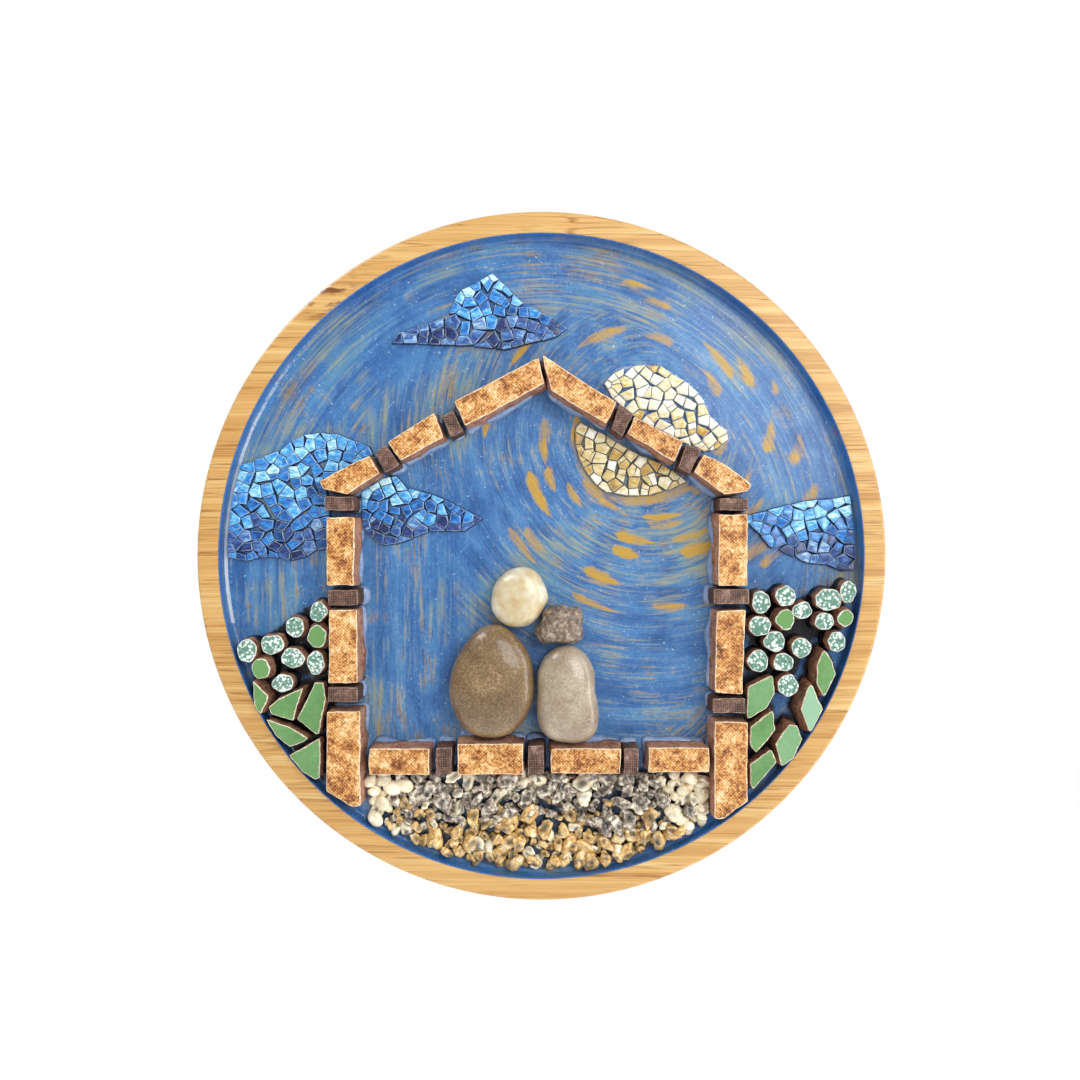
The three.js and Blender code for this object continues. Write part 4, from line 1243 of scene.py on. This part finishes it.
def main():
    studio()
    sun_low, sun_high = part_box("sun_upper")
    swirl = (0.5 * (sun_low.x + sun_high.x) - 6 * MM, 0.5 * (sun_low.z + sun_high.z) - 7 * MM)
    bamboo_body(bamboo())
    painted_recess(sky_paint(swirl), swirl)

    clay = fired_clay("red_earthenware", "#6b4331", "#a9785f", "#cfa18b")
    brick_pieces("brick_", [tan_glaze(), chipped_body("tan_tile_arris", "#fff0d2", "#e2b788"), clay],
                 "brick_tile", 0.25, 0.35, 0.2, 1.2)
    brown = ribbed_clay()
    brick_pieces("spacer_", [brown, chipped_body("brown_tile_arris", "#b39a8c", "#6f4f43"),
                             fired_clay("brown_earthenware", "#2f1b14", "#573a2e", "#7d5c4d")],
                 "spacer_tile", 0.25, 0.3, 0.15, 0.6)
    leaf_clay = fired_clay("buff_earthenware", "#4c3227", "#94694f", "#c79c82")
    adhesive = tile_adhesive()
    leaf_pieces([green_glaze(), chipped_body("green_tile_arris", "#f3ead2", "#d3bd99"), leaf_clay,
                 adhesive])
    berry_finish = [flecked_glaze(), chipped_body("white_tile_arris", "#f6f7f0", "#d3d6c8"), leaf_clay,
                    adhesive]
    for node in ("berries_left", "berries_right"):
        berry_pieces(node, berry_finish)

    rng = random.Random(31)
    blue_joint = painted_bed("blue_joint_paint", "#12294f", "#2c5791")
    azure = painted_eggshell("azure_painted_eggshell", [
        (0.0, "#d2f6fb"), (0.2, "#98dcf8"), (0.38, "#5cb3f2"), (0.55, "#3590e2"), (0.72, "#2873c6"),
        (0.9, "#1a569f"), (1.0, "#123b72")], "#cdeefa")
    navy = painted_eggshell("navy_painted_eggshell", [
        (0.0, "#d4eaf6"), (0.25, "#94bfe4"), (0.45, "#5d8ac6"), (0.62, "#385ea3"), (0.8, "#243f80"),
        (1.0, "#152453")], "#bcd6ec")
    for node, palette in (("cloud_left_outer", azure_cloud), ("cloud_left_inner", navy_cloud),
                          ("cloud_top", navy_cloud), ("cloud_right", navy_cloud)):
        shell_field(node, [azure, navy, blue_joint], "blue_shell", palette, rng)
    cream = painted_eggshell("cream_painted_eggshell", [
        (0.0, "#fffef6"), (0.3, "#fcf6dc"), (0.5, "#f3e6b4"), (0.7, "#e6cb7a"), (0.85, "#d6a83e"),
        (1.0, "#bf8c28")], "#fffdf3")
    straw = painted_eggshell("straw_painted_eggshell", [
        (0.0, "#f6f3e6"), (0.25, "#eadcb0"), (0.45, "#dcc384"), (0.65, "#cba75a"), (0.85, "#b98c36"),
        (1.0, "#8f7a4a")], "#f7f0dc")
    shell_field("sun_upper", [cream, painted_bed("blue_grey_joint_paint", "#4c6f97", "#9db4c6")],
                "yellow_shell", cream_sun, rng)
    shell_field("sun_lower", [straw, painted_bed("grey_green_joint_paint", "#3c4f55", "#8a9384")],
                "yellow_shell", straw_sun, rng)

    pebble("pebble_body_brown", varnished_stone("brown_sandstone_pebble", [
        (0.3, "#46321c"), (0.43, "#6a5132"), (0.53, "#846a47"), (0.62, "#9e845f"), (0.72, "#d8c398")],
        0.6, 9.0, 0.3, 0.05, 0.4), "pebble_brown", 0.1, 0.66)
    pebble("pebble_body_beige", varnished_stone("beige_limestone_pebble", [
        (0.3, "#7d6254"), (0.42, "#998671"), (0.54, "#ad9e86"), (0.72, "#d3c8b5")],
        0.65, 8.0, 0.45, 0.04, 0.38), "pebble_beige", 0.14, 0.7)
    pebble("pebble_head_cream", varnished_stone("cream_quartz_pebble", [
        (0.3, "#bd925c"), (0.44, "#cfbb90"), (0.56, "#dbd0b1"), (0.72, "#f1ebd9")],
        1.8, 7.0, 0.65, 0.01, 0.3), "pebble_cream", 0.15, 0.72)
    pebble("pebble_head_grey", varnished_stone("grey_brown_grit_pebble", [
        (0.3, "#2b2016"), (0.42, "#5d4c3b"), (0.52, "#857260"), (0.62, "#b5a48f"), (0.74, "#ece2d2")],
        1.3, 5.0, 0.25, 0.5, 0.2), "pebble_grey", 0.7, 0.5)

    gravel({
        "grey": tinted_gravel("crusted_grey_gravel", [
            (0.32, "#2c2219"), (0.43, "#6b5a4a"), (0.51, "#a89a88"), (0.59, "#e6dcc9"), (0.7, "#fffaf0")],
            1.5, 0.2, 0.2),
        "golden": tinted_gravel("golden_quartz_gravel", [
            (0.3, "#6f4a1f"), (0.43, "#b38643"), (0.54, "#dcb876"), (0.7, "#fff4d4")], 1.7, 0.12, 0.16),
        "cream": tinted_gravel("cream_shell_gravel", [
            (0.3, "#c2ad85"), (0.48, "#e9dcba"), (0.62, "#fbf4de"), (0.8, "#ffffff")], 1.6, 0.06, 0.2),
    })
    glue_beads(clear_glue())


main()
